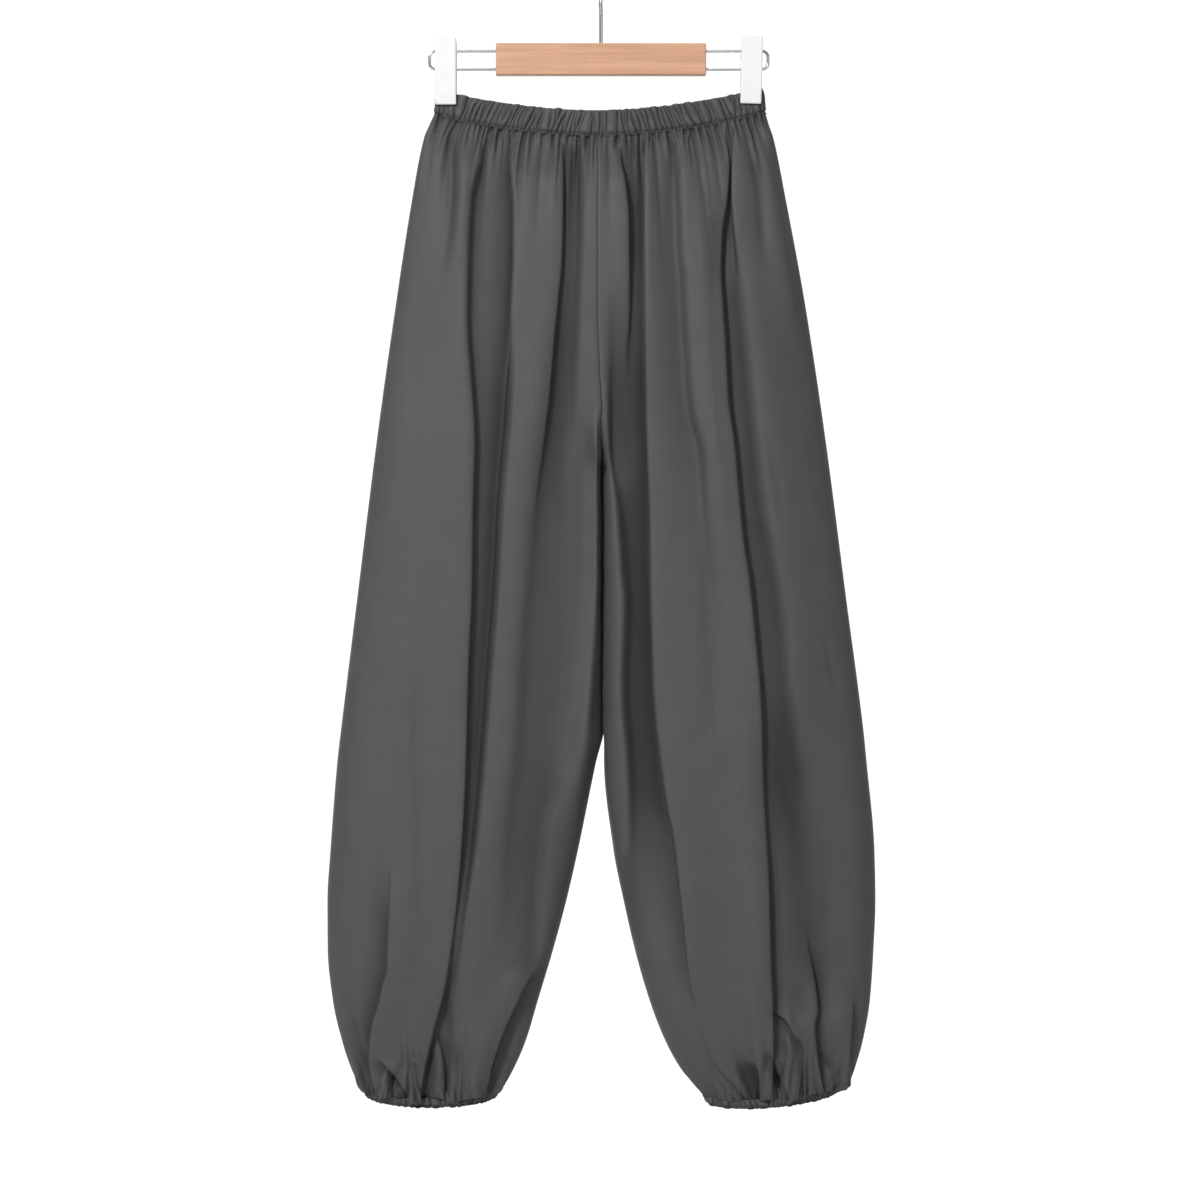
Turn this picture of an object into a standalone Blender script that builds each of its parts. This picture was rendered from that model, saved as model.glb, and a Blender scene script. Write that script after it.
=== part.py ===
"""Balloon-leg pull-on trousers hanging from a clip hanger.

Metres, +Z up. The origin is the point where the hanger's hook rests on a rod, so each height
is written as a drop, the distance below that rod. The front of the trousers faces -Y, and +X
is the wearer's left leg. Every cloth piece is a thin wall: an outer surface worked out from
the section and fold tables, and an inner one moved in by the cloth's thickness.
"""

import math

import bmesh
import bpy
import numpy as np

# ---------------------------------------------------------------- driving sizes
SEAM_GAP = 0.0003  # between pieces that are sewn or rest on each other
CLOTH = 0.0010  # wall of the leg panels
BAND_CLOTH = 0.0020  # waistband casing, folded double over its elastic
HEM_CLOTH = 0.0016  # hem casing

BAND_HALF_WIDTH = 0.1660
BAND_HEIGHT = 0.0250
BAND_CENTRE_DROP = 0.1638  # top edge at the centre front
BAND_RISE = 0.0193  # the clips lift the ends this far above the centre
BAND_RISE_AT = 0.1500  # distance from the centre at which that lift is measured
BAND_RISE_POWER = 1.8
BAND_TILT = 0.0010  # the wearer's left end hangs a little higher
BAND_END_RADIUS = 0.0040  # the casing is pinched nearly flat under the clips
BAND_BULGE = 0.0100  # more half depth at the centre than at the clips
BAND_BULGE_TO = 0.1420
BAND_BULGE_POWER = 1.5
BAND_WAVES = 116
BAND_WAVE = 0.0008
BAND_WAVE_IN_CLIP = 0.15  # share of a wave left where the clips press the casing
BAND_WAVE_AT_EDGE = 0.5  # share of a wave at the top edge and on the casing's inside
BAND_FREE_OVER = 0.0100  # the waves grow to full over this length beside a clip
BAND_PUFF = 0.0008
BAND_SLANT = 0.0040  # the gathers lean outwards going down, most halfway to each end
BAND_INSET = 0.0011  # keeps every wave of the casing inside the clips' jaws
BAND_TOP_ROLL = 0.0006

HEM_HEIGHT = 0.0090
HEM_WAVES = 34
HEM_WAVE = 0.0008
HEM_WAVE_AT_EDGE = 0.6
HEM_TURN_UNDER = 0.0008

FORK_DROP = 0.487  # where the four panels meet under the crotch
FORK_BEND_START = 0.250  # the centre seams begin to curve under at this drop
FORK_BEND_POWER = 2.2

# One row for each level: x of each leg's side seam and inseam, and the half depth there.
LEVEL_COLUMNS = ("drop", "right_side", "right_inseam", "left_side", "left_inseam", "half_depth")
LEVELS = (
    (0.166, -0.1668, -0.00015, 0.1668, 0.00015, 0.0140),
    (0.176, -0.1705, -0.00015, 0.1690, 0.00015, 0.0165),
    (0.190, -0.1760, -0.00015, 0.1735, 0.00015, 0.0205),
    (0.252, -0.1880, -0.00015, 0.1860, 0.00015, 0.0295),
    (0.352, -0.2035, -0.00015, 0.2045, 0.00015, 0.0360),
    (0.487, -0.2225, -0.00020, 0.2250, 0.00020, 0.0380),
    (0.652, -0.2430, -0.00050, 0.2465, 0.00120, 0.0400),
    (0.782, -0.2590, -0.00080, 0.2635, 0.00180, 0.0430),
    (0.812, -0.2625, -0.00400, 0.2665, 0.00340, 0.0440),
    (0.902, -0.2695, -0.02200, 0.2745, 0.01350, 0.0465),
    (0.952, -0.2725, -0.03350, 0.2755, 0.02350, 0.0475),
    (1.002, -0.2722, -0.04700, 0.2735, 0.03500, 0.0475),
    (1.052, -0.2670, -0.06200, 0.2700, 0.04950, 0.0450),
    (1.092, -0.2580, -0.07400, 0.2630, 0.06500, 0.0385),
    (1.122, -0.2480, -0.08700, 0.2540, 0.08200, 0.0300),
    (1.143, -0.2375, -0.09900, 0.2435, 0.10200, 0.0220),
)

# The hem casings: centre, half width, drop of the top edge at the side and inseam ends, and
# how much lower the front and back middles hang.
HEM_COLUMNS = ("leg", "centre", "half_width", "side_drop", "inseam_drop", "sag")
HEMS = (
    ("right", -0.1683, 0.0692, 1.1360, 1.1360, 0.0110),
    ("left", 0.1728, 0.0708, 1.1300, 1.1420, 0.0110),
)
HEM_HALF_DEPTH = 0.0220
SECTION_POWER = 2.4  # of the oval that each leg's section is: 2 is an ellipse, more is boxier
BAND_TO_FULL = 0.050  # the section opens from the waistband's to its own over this length

# Fold lines of the front, one row each. The cloth on one side of the line lies over the
# other: "over" says towards which seam. rise and fall are the steps up and down at the line,
# spread is how far each dies away, edge is the width of the step, and the last columns are
# the x of the line at ten drops.
FOLD_DROPS = (0.170, 0.252, 0.352, 0.487, 0.652, 0.802, 0.952, 1.052, 1.112, 1.146)
FOLD_COLUMNS = ("leg", "over", "start", "end", "rise", "fall", "spread", "edge", "path")
FOLDS = (
    ("right", "inseam", 0.960, 1.200, 0.0035, 0.0040, 0.016, 0.0035,
     (-0.156, -0.169, -0.184, -0.200, -0.208, -0.212, -0.209, -0.219, -0.228, -0.217)),
    ("right", "inseam", 0.150, 0.400, 0.0020, 0.0035, 0.012, 0.0035,
     (-0.141, -0.143, -0.156, -0.170, -0.176, -0.182, -0.185, -0.192, -0.204, -0.200)),
    ("right", "side", 0.150, 1.200, 0.0045, 0.0080, 0.017, 0.0030,
     (-0.118, -0.129, -0.132, -0.124, -0.127, -0.132, -0.141, -0.160, -0.176, -0.180)),
    ("right", "inseam", 0.150, 1.090, 0.0040, 0.0060, 0.017, 0.0040,
     (-0.089, -0.085, -0.086, -0.094, -0.104, -0.117, -0.132, -0.148, -0.153, -0.156)),
    ("right", "side", 0.150, 0.700, 0.0040, 0.0060, 0.016, 0.0040,
     (-0.040, -0.037, -0.041, -0.054, -0.070, -0.083, -0.098, -0.113, -0.128, -0.137)),
    ("right", "side", 1.000, 1.200, 0.0040, 0.0065, 0.014, 0.0035,
     (-0.027, -0.028, -0.031, -0.040, -0.047, -0.058, -0.076, -0.086, -0.107, -0.119)),
    ("right", "inseam", 0.150, 1.090, 0.0030, 0.0035, 0.018, 0.0060,
     (-0.012, -0.017, -0.0215, -0.027, -0.022, -0.033, -0.055, -0.072, -0.093, -0.107)),
    ("left", "inseam", 0.400, 0.910, 0.0040, 0.0060, 0.013, 0.0040,
     (0.007, 0.009, 0.010, 0.0135, 0.026, 0.032, 0.036, 0.063, 0.090, 0.110)),
    ("left", "inseam", 0.150, 0.450, 0.0035, 0.0060, 0.015, 0.0040,
     (0.018, 0.027, 0.0295, 0.029, 0.037, 0.045, 0.057, 0.078, 0.098, 0.114)),
    ("left", "side", 0.150, 1.030, 0.0045, 0.0080, 0.018, 0.0035,
     (0.045, 0.043, 0.043, 0.045, 0.048, 0.062, 0.077, 0.092, 0.106, 0.119)),
    ("left", "side", 0.150, 0.680, 0.0030, 0.0040, 0.015, 0.0045,
     (0.076, 0.078, 0.083, 0.102, 0.114, 0.128, 0.134, 0.138, 0.142, 0.146)),
    ("left", "inseam", 0.150, 1.200, 0.0045, 0.0085, 0.018, 0.0030,
     (0.124, 0.126, 0.121, 0.132, 0.150, 0.160, 0.1665, 0.168, 0.170, 0.169)),
    ("left", "side", 0.150, 0.780, 0.0030, 0.0060, 0.020, 0.0060,
     (0.134, 0.133, 0.139, 0.151, 0.173, 0.188, 0.194, 0.198, 0.201, 0.202)),
    ("left", "side", 0.980, 1.200, 0.0035, 0.0050, 0.013, 0.0035,
     (0.147, 0.152, 0.164, 0.180, 0.198, 0.208, 0.209, 0.215, 0.216, 0.219)),
    ("left", "inseam", 1.030, 1.200, 0.0030, 0.0045, 0.012, 0.0035,
     (0.157, 0.169, 0.185, 0.203, 0.224, 0.240, 0.250, 0.249, 0.242, 0.231)),
)
FOLD_FADE = 0.050  # a fold grows from nothing to full over this length
FOLD_NARROW = 0.30  # share of its size that a fold has at the waistband
FOLD_EDGE_NARROW = 0.5  # share of its step's width left where the fold has shrunk to nothing
FOLD_GROWS_OVER = 0.075  # distance below the waistband at which it is full
FOLD_HEM_SHARE = 0.35  # share left at the hem casing
FOLD_HEM_OVER = 0.050
SEAM_CALM = 0.011  # folds die away this near a side seam or inseam
DEEPEST_SHARE = 0.60  # no valley takes more of the half depth than this
BACK_SHARE = 0.85  # the back's folds against those of the other leg's front

FRONT_ROWS = 21
BACK_ROWS = 17
BETWEEN = 1  # columns between two fold lines
EDGE_COLUMNS = 4  # columns between a seam and the nearest fold line
GUIDE_AT = 0.75  # a column runs this share of a step's width to each side of its line
GUIDE_APART = 0.0012
LAST_GUIDE = 0.0040
SETTLING_PASSES = 4  # a column's drop and its share across depend on each other
ROW_CROWDING = 0.11
SLOPE_OVER_SHARE = 0.0002  # a wall's direction is measured over these small steps
SLOPE_OVER_DROP = 0.0004
LOOP_SAMPLES = 720  # points tried round a ring before its waves are spaced evenly
SHARP_ANGLE = 50  # degrees between faces above which an edge is shaded as a sharp one
TINY = 0.000001

# ---------------------------------------------------------------- hanger sizes
HANGER_X = 0.0010
HOOK_WIRE = 0.0019  # radius of the hook's wire
HOOK_INNER = 0.0220  # radius of the space for the rod
HOOK_STEM_TOP = 0.0520
HOOK_BEND = 0.0062
HOOK_JOINS_AT = -48  # degrees round the hook's circle where the stem's bend ends
HOOK_ENDS_AT = 212
HOOK_DEPTH_IN_BAR = 0.012
HOOK_STEPS = 12  # points along the hook's arc
BORE_PAST_WIRE = 0.002  # the bar's bores run this much deeper than the wires in them

BAR_LENGTH = 0.2100
BAR_THICKNESS = 0.0130
BAR_TOP_DROP = 0.0960
BAR_HEIGHT = 0.0315
BAR_EDGE = 0.0012

ARM_WIRE = 0.0015
ARM_UPPER_DROP = 0.1032
ARM_LOWER_DROP = 0.1214
ARM_CORNER = 0.0060
ARM_IN_BAR = 0.0220
ARM_REACH = {"right": -0.1703, "left": 0.1680}
HOLE_CLEARANCE = 0.0003

CLIP_X = {"right": -0.1540, "left": 0.1515}
CLIP_LEAN = {"right": 0.0, "left": 1.3}  # degrees in the hanger's plane
CLIP_WIDTH = 0.0210
CLIP_TOP_DROP = {"right": 0.0910, "left": 0.0900}
CLIP_LENGTH = 0.0665
CLIP_EDGE = 0.0012
# Half depth of a jaw's outer and inner face at steps down its length, as shares of it.
JAW_COLUMNS = ("down", "outer", "inner")
JAW = (
    (0.00, 0.0125, 0.0094),
    (0.50, 0.0112, 0.0078),
    (0.82, 0.0096, 0.0064),
    (0.86, 0.0093, 0.0045),
    (1.00, 0.0080, 0.0045),
)
PIN_DROP = 0.1123
PIN_RADIUS = 0.0013
PIN_LENGTH = 0.0186
EAR_HEIGHT = 0.0110
EAR_THICKNESS = 0.0016
EAR_PAST_PIN = 0.0028
EAR_ROOT = 0.0096  # the ears are rooted inside the jaw's plate
EAR_X = {"front": 0.0082, "back": 0.0060}
SPRING_OUTER = 0.0031
SPRING_INNER = 0.0018
SPRING_LENGTH = 0.0086

# ---------------------------------------------------------------- colours
MATERIALS = {
    "woven_cloth": ((0.108, 0.104, 0.111), 0.62, 0.0),
    "elastic_casing": ((0.104, 0.100, 0.107), 0.64, 0.0),
    "beech_wood": ((0.710, 0.430, 0.275), 0.48, 0.0),
    "steel_wire": ((0.620, 0.600, 0.560), 0.25, 1.0),
    "white_plastic": ((0.900, 0.895, 0.880), 0.38, 0.0),
}


# ---------------------------------------------------------------- small helpers
def column(table, columns, name):
    """One named column of a table, as an array."""
    return np.array([row[columns.index(name)] for row in table])


def named(row, columns):
    """A table row as a dictionary of its named columns."""
    return dict(zip(columns, row))


def smooth(at, known, values):
    """A cubic through the known values that never overshoots between two of them."""
    known = np.asarray(known, float)
    values = np.asarray(values, float)
    at = np.clip(at, known[0], known[-1])
    step = np.diff(known)
    slope = np.diff(values) / step
    tangent = np.concatenate(([slope[0]], np.zeros(len(slope) - 1), [slope[-1]]))
    together = slope[:-1] * slope[1:]
    total = np.where(together > 0, slope[:-1] + slope[1:], 1.0)
    tangent[1:-1] = np.where(together > 0, 2 * together / total, 0.0)
    i = np.clip(np.searchsorted(known, at, side="right") - 1, 0, len(step) - 1)
    t = (at - known[i]) / step[i]
    return (
        values[i] * (2 * t**3 - 3 * t**2 + 1)
        + tangent[i] * step[i] * (t**3 - 2 * t**2 + t)
        + values[i + 1] * (3 * t**2 - 2 * t**3)
        + tangent[i + 1] * step[i] * (t**3 - t**2)
    )


def ramp(at, start, end):
    """0 before start, 1 after end, with no corner at either."""
    t = np.clip((at - start) / (end - start), 0, 1)
    return t * t * (3 - 2 * t)


# ---------------------------------------------------------------- trouser sections
def level(name, drop):
    return smooth(drop, column(LEVELS, LEVEL_COLUMNS, "drop"), column(LEVELS, LEVEL_COLUMNS, name))


def band_top(x):
    """Drop of the waistband's top edge at x."""
    lift = BAND_RISE * (np.abs(x) / BAND_RISE_AT) ** BAND_RISE_POWER
    return BAND_CENTRE_DROP - lift - BAND_TILT * x / BAND_RISE_AT


def band_half_depth(x):
    """Half depth of the waistband ring at x: pinched under the clips, open at the centre."""
    from_end = BAND_HALF_WIDTH - np.abs(x)
    into_round = np.clip(1 - from_end / BAND_END_RADIUS, 0, 1)
    pinched = BAND_END_RADIUS * np.sqrt(1 - into_round**2)
    open_share = np.clip(1 - (np.abs(x) / BAND_BULGE_TO) ** 2, 0, 1)
    return pinched + BAND_BULGE * open_share**BAND_BULGE_POWER


def fork_weight(drop):
    """1 where both legs share one hip section, 0 from the fork down, where each has its own."""
    t = np.clip((drop - FORK_BEND_START) / (FORK_DROP - FORK_BEND_START), 0, 1)
    return 1 - t**FORK_BEND_POWER


def panel_x(leg, share, drop):
    side = level(leg + "_side", drop)
    return side + share * (level(leg + "_inseam", drop) - side)


def panel_width(leg, drop):
    return np.abs(level(leg + "_inseam", drop) - level(leg + "_side", drop))


def panel_drop(leg, share, down):
    """Drop at a share across the panel and a share down it, from waistband to hem casing."""
    hem = next(named(r, HEM_COLUMNS) for r in HEMS if r[0] == leg)
    top_x = np.sign(hem["centre"]) * BAND_HALF_WIDTH * (1 - share)
    top = band_top(top_x) + BAND_HEIGHT + SEAM_GAP
    ends = hem["side_drop"] + share * (hem["inseam_drop"] - hem["side_drop"])
    bottom = ends + hem["sag"] * 2 * np.sqrt(np.clip(share * (1 - share), 0, 1)) - SEAM_GAP
    return top + down * (bottom - top)


def oval(off_centre):
    """Height of the section's oval, 1 at its centre and 0 at its ends, where off_centre is 1."""
    inside = 1 - np.clip(np.abs(off_centre), 0, 1) ** SECTION_POWER
    return inside ** (1 / SECTION_POWER)


def plain_half_depth(leg, share, drop):
    """Half depth before folds: the band's section at the top, half a hip oval, then a leg oval."""
    weight = fork_weight(drop)
    full = level("half_depth", drop) * ((1 - weight) * oval(2 * share - 1) + weight * oval(1 - share))
    top_x = BAND_HALF_WIDTH * (1 - share)
    below_band = drop - band_top(top_x) - BAND_HEIGHT
    opened = ramp(below_band, 0, BAND_TO_FULL)
    return band_half_depth(top_x) * (1 - opened) + full * opened


# ---------------------------------------------------------------- folds
def fold_rows(leg, back):
    """The fold lines of a panel, with their paths as shares from side seam to inseam. A back
    panel takes those of the other leg's front, a little softer."""
    source = {"right": "left", "left": "right"}[leg] if back else leg
    drops = np.array(FOLD_DROPS)
    side = level(source + "_side", drops)
    inseam = level(source + "_inseam", drops)
    rows = [named(r, FOLD_COLUMNS) for r in FOLDS if r[0] == source]
    for row in rows:
        row["shares"] = (np.array(row["path"]) - side) / (inseam - side)
        row["size"] = BACK_SHARE if back else 1.0
    at_fork = FOLD_DROPS.index(FORK_DROP)
    return sorted(rows, key=lambda row: row["shares"][at_fork])


def fold_height(leg, share, drop, rows):
    """How far the folds stand out from the plain section, towards the outside."""
    width = panel_width(leg, drop)
    top_x = BAND_HALF_WIDTH * (1 - share)
    below_band = drop - band_top(top_x) - BAND_HEIGHT
    above_hem = panel_drop(leg, share, 1.0) - drop
    grown = FOLD_NARROW + (1 - FOLD_NARROW) * ramp(below_band, 0, FOLD_GROWS_OVER)
    calm = FOLD_HEM_SHARE + (1 - FOLD_HEM_SHARE) * ramp(above_hem, 0, FOLD_HEM_OVER)
    height = np.zeros_like(share)
    for row in rows:
        away = (share - smooth(drop, FOLD_DROPS, row["shares"])) * width
        over = away if row["over"] == "inseam" else -away
        edge = row["edge"] * (FOLD_EDGE_NARROW + (1 - FOLD_EDGE_NARROW) * grown)
        step = 0.5 + 0.5 * np.tanh(over / edge)
        near = np.exp(-((away / (row["spread"] * grown)) ** 2))
        present = ramp(drop, row["start"], row["start"] + FOLD_FADE) * (
            1 - ramp(drop, row["end"] - 2 * FOLD_FADE, row["end"])
        )
        size = row["size"] * present * near
        height += size * (row["rise"] * step - row["fall"] * (1 - step))
    at_side = 1 - np.exp(-((share * width / SEAM_CALM) ** 2))
    at_inseam = 1 - np.exp(-(((1 - share) * width / SEAM_CALM) ** 2))
    weight = fork_weight(drop)
    return height * grown * calm * at_side * (weight + (1 - weight) * at_inseam)


def panel_surface(leg, back, share, drop, rows):
    """Points of a panel's outer surface."""
    plain = plain_half_depth(leg, share, drop)
    height = fold_height(leg, share, drop, rows)
    limit = DEEPEST_SHARE * plain + TINY
    height = np.where(height < 0, -limit * np.tanh(-height / limit), height)
    depth = plain + height + SEAM_GAP / 2
    y = depth if back else -depth
    return np.stack([panel_x(leg, share, drop), y, -drop], axis=-1)


# ---------------------------------------------------------------- walls of cloth
def object_from(name, points, faces, material):
    mesh = bpy.data.meshes.new(name)
    mesh.from_pydata([tuple(p) for p in points], [], faces)
    mesh.materials.append(material)
    built = bmesh.new()
    built.from_mesh(mesh)
    bmesh.ops.recalc_face_normals(built, faces=built.faces)
    built.to_mesh(mesh)
    built.free()
    mesh.shade_smooth()
    mesh.set_sharp_from_angle(angle=math.radians(SHARP_ANGLE))
    made = bpy.data.objects.new(name, mesh)
    bpy.context.collection.objects.link(made)
    return made


def grid_faces(rows, columns, start, flip):
    faces = []
    for i in range(rows - 1):
        for j in range(columns - 1):
            a = start + i * columns + j
            face = (a, a + 1, a + columns + 1, a + columns)
            faces.append(face[::-1] if flip else face)
    return faces


def sheet_wall(name, outer, inner, material):
    """A closed wall between two grids of the same shape."""
    rows, columns = outer.shape[:2]
    count = rows * columns
    faces = grid_faces(rows, columns, 0, False) + grid_faces(rows, columns, count, True)
    top = [j for j in range(columns)]
    right = [i * columns + columns - 1 for i in range(rows)]
    bottom = [(rows - 1) * columns + j for j in reversed(range(columns))]
    left = [i * columns for i in reversed(range(rows))]
    for edge in (top, right, bottom, left):
        for a, b in zip(edge[:-1], edge[1:]):
            faces.append((b, a, a + count, b + count))
    points = np.concatenate([outer.reshape(-1, 3), inner.reshape(-1, 3)])
    return object_from(name, points, faces, material)


def ring_wall(name, loops, material):
    """A closed band of cloth: each loop joins the next, and the last joins the first."""
    count = len(loops[0])
    faces = []
    for k in range(len(loops)):
        after = (k + 1) % len(loops)
        for j in range(count):
            n = (j + 1) % count
            faces.append((k * count + j, k * count + n, after * count + n, after * count + j))
    return object_from(name, np.concatenate(loops), faces, material)


def column_count(rows):
    return 2 * EDGE_COLUMNS + 2 * len(rows) + BETWEEN * (len(rows) - 1)


def panel_columns(leg, drop, rows):
    """Shares across a panel for a grid of drops: two columns keep to the sides of each fold
    line, with others between the lines and towards the seams."""
    width = panel_width(leg, drop)
    guides = []
    last = np.zeros_like(width)
    for row in rows:
        half_edge = GUIDE_AT * row["edge"] / width
        line = smooth(drop, FOLD_DROPS, row["shares"])
        line = np.maximum(line, last + half_edge + GUIDE_APART / width)
        last = line + half_edge
        guides += [line - half_edge, last]
    for back_from_end, k in enumerate(reversed(range(len(guides)))):
        room = LAST_GUIDE + back_from_end * GUIDE_APART
        guides[k] = np.minimum(guides[k], 1 - room / width)
    found = [guides[0] * (j / EDGE_COLUMNS) ** 2 for j in range(EDGE_COLUMNS)]
    for k, guide in enumerate(guides[:-1]):
        found.append(guide)
        if k % 2:
            step = (guides[k + 1] - guide) / (BETWEEN + 1)
            found += [guide + step * (j + 1) for j in range(BETWEEN)]
    found.append(guides[-1])
    left_over = 1 - guides[-1]
    found += [1 - left_over * (j / EDGE_COLUMNS) ** 2 for j in reversed(range(EDGE_COLUMNS))]
    return np.stack([values[:, j] for j, values in enumerate(found)], axis=1)


def panel_rows(count):
    """Shares down a panel, closer together towards the waistband and the hem."""
    t = np.linspace(0, 1, count)
    return t - ROW_CROWDING * np.sin(2 * math.pi * t)


def outward(leg, back, share, drop, rows):
    """Unit normals of a panel, turned along its seams so that no wall crosses its neighbour."""
    low = np.clip(share - SLOPE_OVER_SHARE, 0, 1)
    high = np.clip(share + SLOPE_OVER_SHARE, 0, 1)
    across = panel_surface(leg, back, high, drop, rows) - panel_surface(leg, back, low, drop, rows)
    lower = panel_surface(leg, back, share, drop + SLOPE_OVER_DROP, rows)
    down = lower - panel_surface(leg, back, share, drop - SLOPE_OVER_DROP, rows)
    normal = np.cross(across, down)
    normal /= np.linalg.norm(normal, axis=-1, keepdims=True)
    facing = 1.0 if back else -1.0
    middle = normal[..., normal.shape[1] // 2, 1].mean()
    normal *= np.sign(middle) * facing
    to_side = -1.0 if leg == "right" else 1.0
    normal[:, 0] = (to_side, 0.0, 0.0)
    weight = fork_weight(drop[:, -1])
    inward = normal[:, -1]
    inward[:, 0] = -to_side * np.abs(np.minimum(inward[:, 0] * to_side, 0.0))
    inward[weight <= 0] = (-to_side, 0.0, 0.0)
    inward[:, 2] = 0.0
    inward /= np.linalg.norm(inward, axis=-1, keepdims=True)
    return normal


def leg_panel(leg, back, material):
    rows = fold_rows(leg, back)
    down = panel_rows(BACK_ROWS if back else FRONT_ROWS)[:, None]
    share = np.full((len(down), column_count(rows)), 0.5)
    for _ in range(SETTLING_PASSES):
        drop = panel_drop(leg, share, down)
        share = panel_columns(leg, drop, rows)
    drop = panel_drop(leg, share, down)
    outer = panel_surface(leg, back, share, drop, rows)
    inner = outer - CLOTH * outward(leg, back, share, drop, rows)
    face = "back" if back else "front"
    return sheet_wall(f"{face}_{leg}_leg", outer, inner, material)


# ---------------------------------------------------------------- waistband and hems
def even_loop(x, y, count):
    """count points evenly spaced along a closed curve given by many points."""
    x = np.append(x, x[0])
    y = np.append(y, y[0])
    along = np.concatenate([[0], np.cumsum(np.hypot(np.diff(x), np.diff(y)))])
    at = np.arange(count) / count * along[-1]
    return np.interp(at, along, x), np.interp(at, along, y)


def loop_normals(x, y):
    """Outward unit normals of a loop that runs counter-clockwise seen from above."""
    along_x = np.roll(x, -1) - np.roll(x, 1)
    along_y = np.roll(y, -1) - np.roll(y, 1)
    length = np.hypot(along_x, along_y)
    return along_y / length, -along_x / length


def waistband(material):
    """A ring with the band's lens-shaped section, its casing gathered into upright waves."""
    turn = np.linspace(-math.pi, 0, LOOP_SAMPLES, endpoint=False)
    front_x = BAND_HALF_WIDTH * np.cos(turn)
    curve_x = np.concatenate([front_x, -front_x])
    curve_y = np.concatenate([-band_half_depth(front_x), band_half_depth(front_x)])
    x, y = even_loop(curve_x, curve_y, 2 * BAND_WAVES)
    out_x, out_y = loop_normals(x, y)
    free = 1 - ramp(np.abs(x), BAND_BULGE_TO - BAND_FREE_OVER, BAND_BULGE_TO)
    share_left = BAND_WAVE_IN_CLIP + (1 - BAND_WAVE_IN_CLIP) * free
    wave = np.tile([1.0, -1.0], BAND_WAVES) * BAND_WAVE * share_left
    edge_wave = BAND_WAVE_AT_EDGE * wave
    slant = BAND_SLANT * np.sin(math.pi * x / BAND_HALF_WIDTH)

    def loop(down, stand_out):
        out = stand_out - BAND_INSET
        at_x = x + out_x * out + slant * (down / BAND_HEIGHT - 0.5)
        return np.stack([at_x, y + out_y * out, -(band_top(x) + down)], axis=1)

    loops = [
        loop(BAND_TOP_ROLL, edge_wave),
        loop(0.5 * BAND_HEIGHT, wave + BAND_PUFF * free),
        loop(BAND_HEIGHT, wave),
        loop(BAND_HEIGHT, edge_wave - BAND_CLOTH),
        loop(BAND_TOP_ROLL, edge_wave - BAND_CLOTH),
    ]
    return ring_wall("waistband", loops, material)


def hem_casing(hem, material):
    """The gathered ring that closes a leg, an oval with its waves standing out."""
    turn = np.linspace(0, 2 * math.pi, LOOP_SAMPLES, endpoint=False)
    off_centre = np.sign(np.cos(turn)) * np.abs(np.cos(turn)) ** (2 / SECTION_POWER)
    half_depth = np.sign(np.sin(turn)) * HEM_HALF_DEPTH * oval(off_centre)
    x, y = even_loop(hem["half_width"] * off_centre, half_depth, 2 * HEM_WAVES)
    out_x, out_y = loop_normals(x, y)
    to_side = -1.0 if hem["leg"] == "right" else 1.0
    share = np.clip(0.5 * (1 - to_side * x / hem["half_width"]), 0, 1)
    ends = hem["side_drop"] + share * (hem["inseam_drop"] - hem["side_drop"])
    drop = ends + hem["sag"] * 2 * np.sqrt(share * (1 - share))
    wave = np.tile([1.0, -1.0], HEM_WAVES) * HEM_WAVE
    edge_wave = HEM_WAVE_AT_EDGE * wave

    def loop(down, stand_out):
        at_x = hem["centre"] + x + out_x * stand_out
        return np.stack([at_x, y + out_y * stand_out, -(drop + down)], axis=1)

    loops = [
        loop(0, wave),
        loop(HEM_HEIGHT, edge_wave - HEM_TURN_UNDER),
        loop(HEM_HEIGHT, edge_wave - HEM_TURN_UNDER - HEM_CLOTH),
        loop(0, edge_wave - HEM_CLOTH),
    ]
    return ring_wall(hem["leg"] + "_hem_casing", loops, material)


# ---------------------------------------------------------------- hanger
def rounded(points, per_span):
    """A smooth curve through points (Catmull-Rom), with per_span steps between two of them."""
    p = np.array(points, float)
    p = np.vstack([2 * p[0] - p[1], p, 2 * p[-1] - p[-2]])
    found = []
    for a, b, c, d in zip(p[:-3], p[1:-2], p[2:-1], p[3:]):
        for t in np.arange(per_span) / per_span:
            found.append(
                0.5 * (2 * b + (c - a) * t + (2 * a - 5 * b + 4 * c - d) * t**2
                       + (3 * b - a - 3 * c + d) * t**3)
            )
    return np.array(found + [p[-2]])


def wire(name, points, radius, material):
    curve = bpy.data.curves.new(name, "CURVE")
    curve.dimensions = "3D"
    curve.bevel_depth = radius
    curve.bevel_resolution = 2
    curve.use_fill_caps = True
    spline = curve.splines.new("POLY")
    spline.points.add(len(points) - 1)
    for point, place in zip(spline.points, points):
        point.co = (*place, 1.0)
    curve.materials.append(material)
    made = bpy.data.objects.new(name, curve)
    bpy.context.collection.objects.link(made)
    return made


def hook(material):
    """A question-mark hook whose inner top is the origin, on a stem set into the bar."""
    radius = HOOK_INNER + HOOK_WIRE
    centre_z = -HOOK_INNER
    bend = [
        (HANGER_X, 0, -HOOK_STEM_TOP - 2 * HOOK_BEND),
        (HANGER_X, 0, -HOOK_STEM_TOP),
        (HANGER_X + HOOK_BEND, 0, -HOOK_STEM_TOP + HOOK_BEND),
    ]
    angles = [math.radians(a) for a in np.linspace(HOOK_JOINS_AT, HOOK_ENDS_AT, HOOK_STEPS)]
    circle = [(radius * math.cos(a), 0, centre_z + radius * math.sin(a)) for a in angles]
    foot = (HANGER_X, 0, -BAR_TOP_DROP - HOOK_DEPTH_IN_BAR)
    path = np.vstack([[foot], rounded(bend + circle, 2)])
    return wire("hanger_hook", path, HOOK_WIRE, material)


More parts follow.
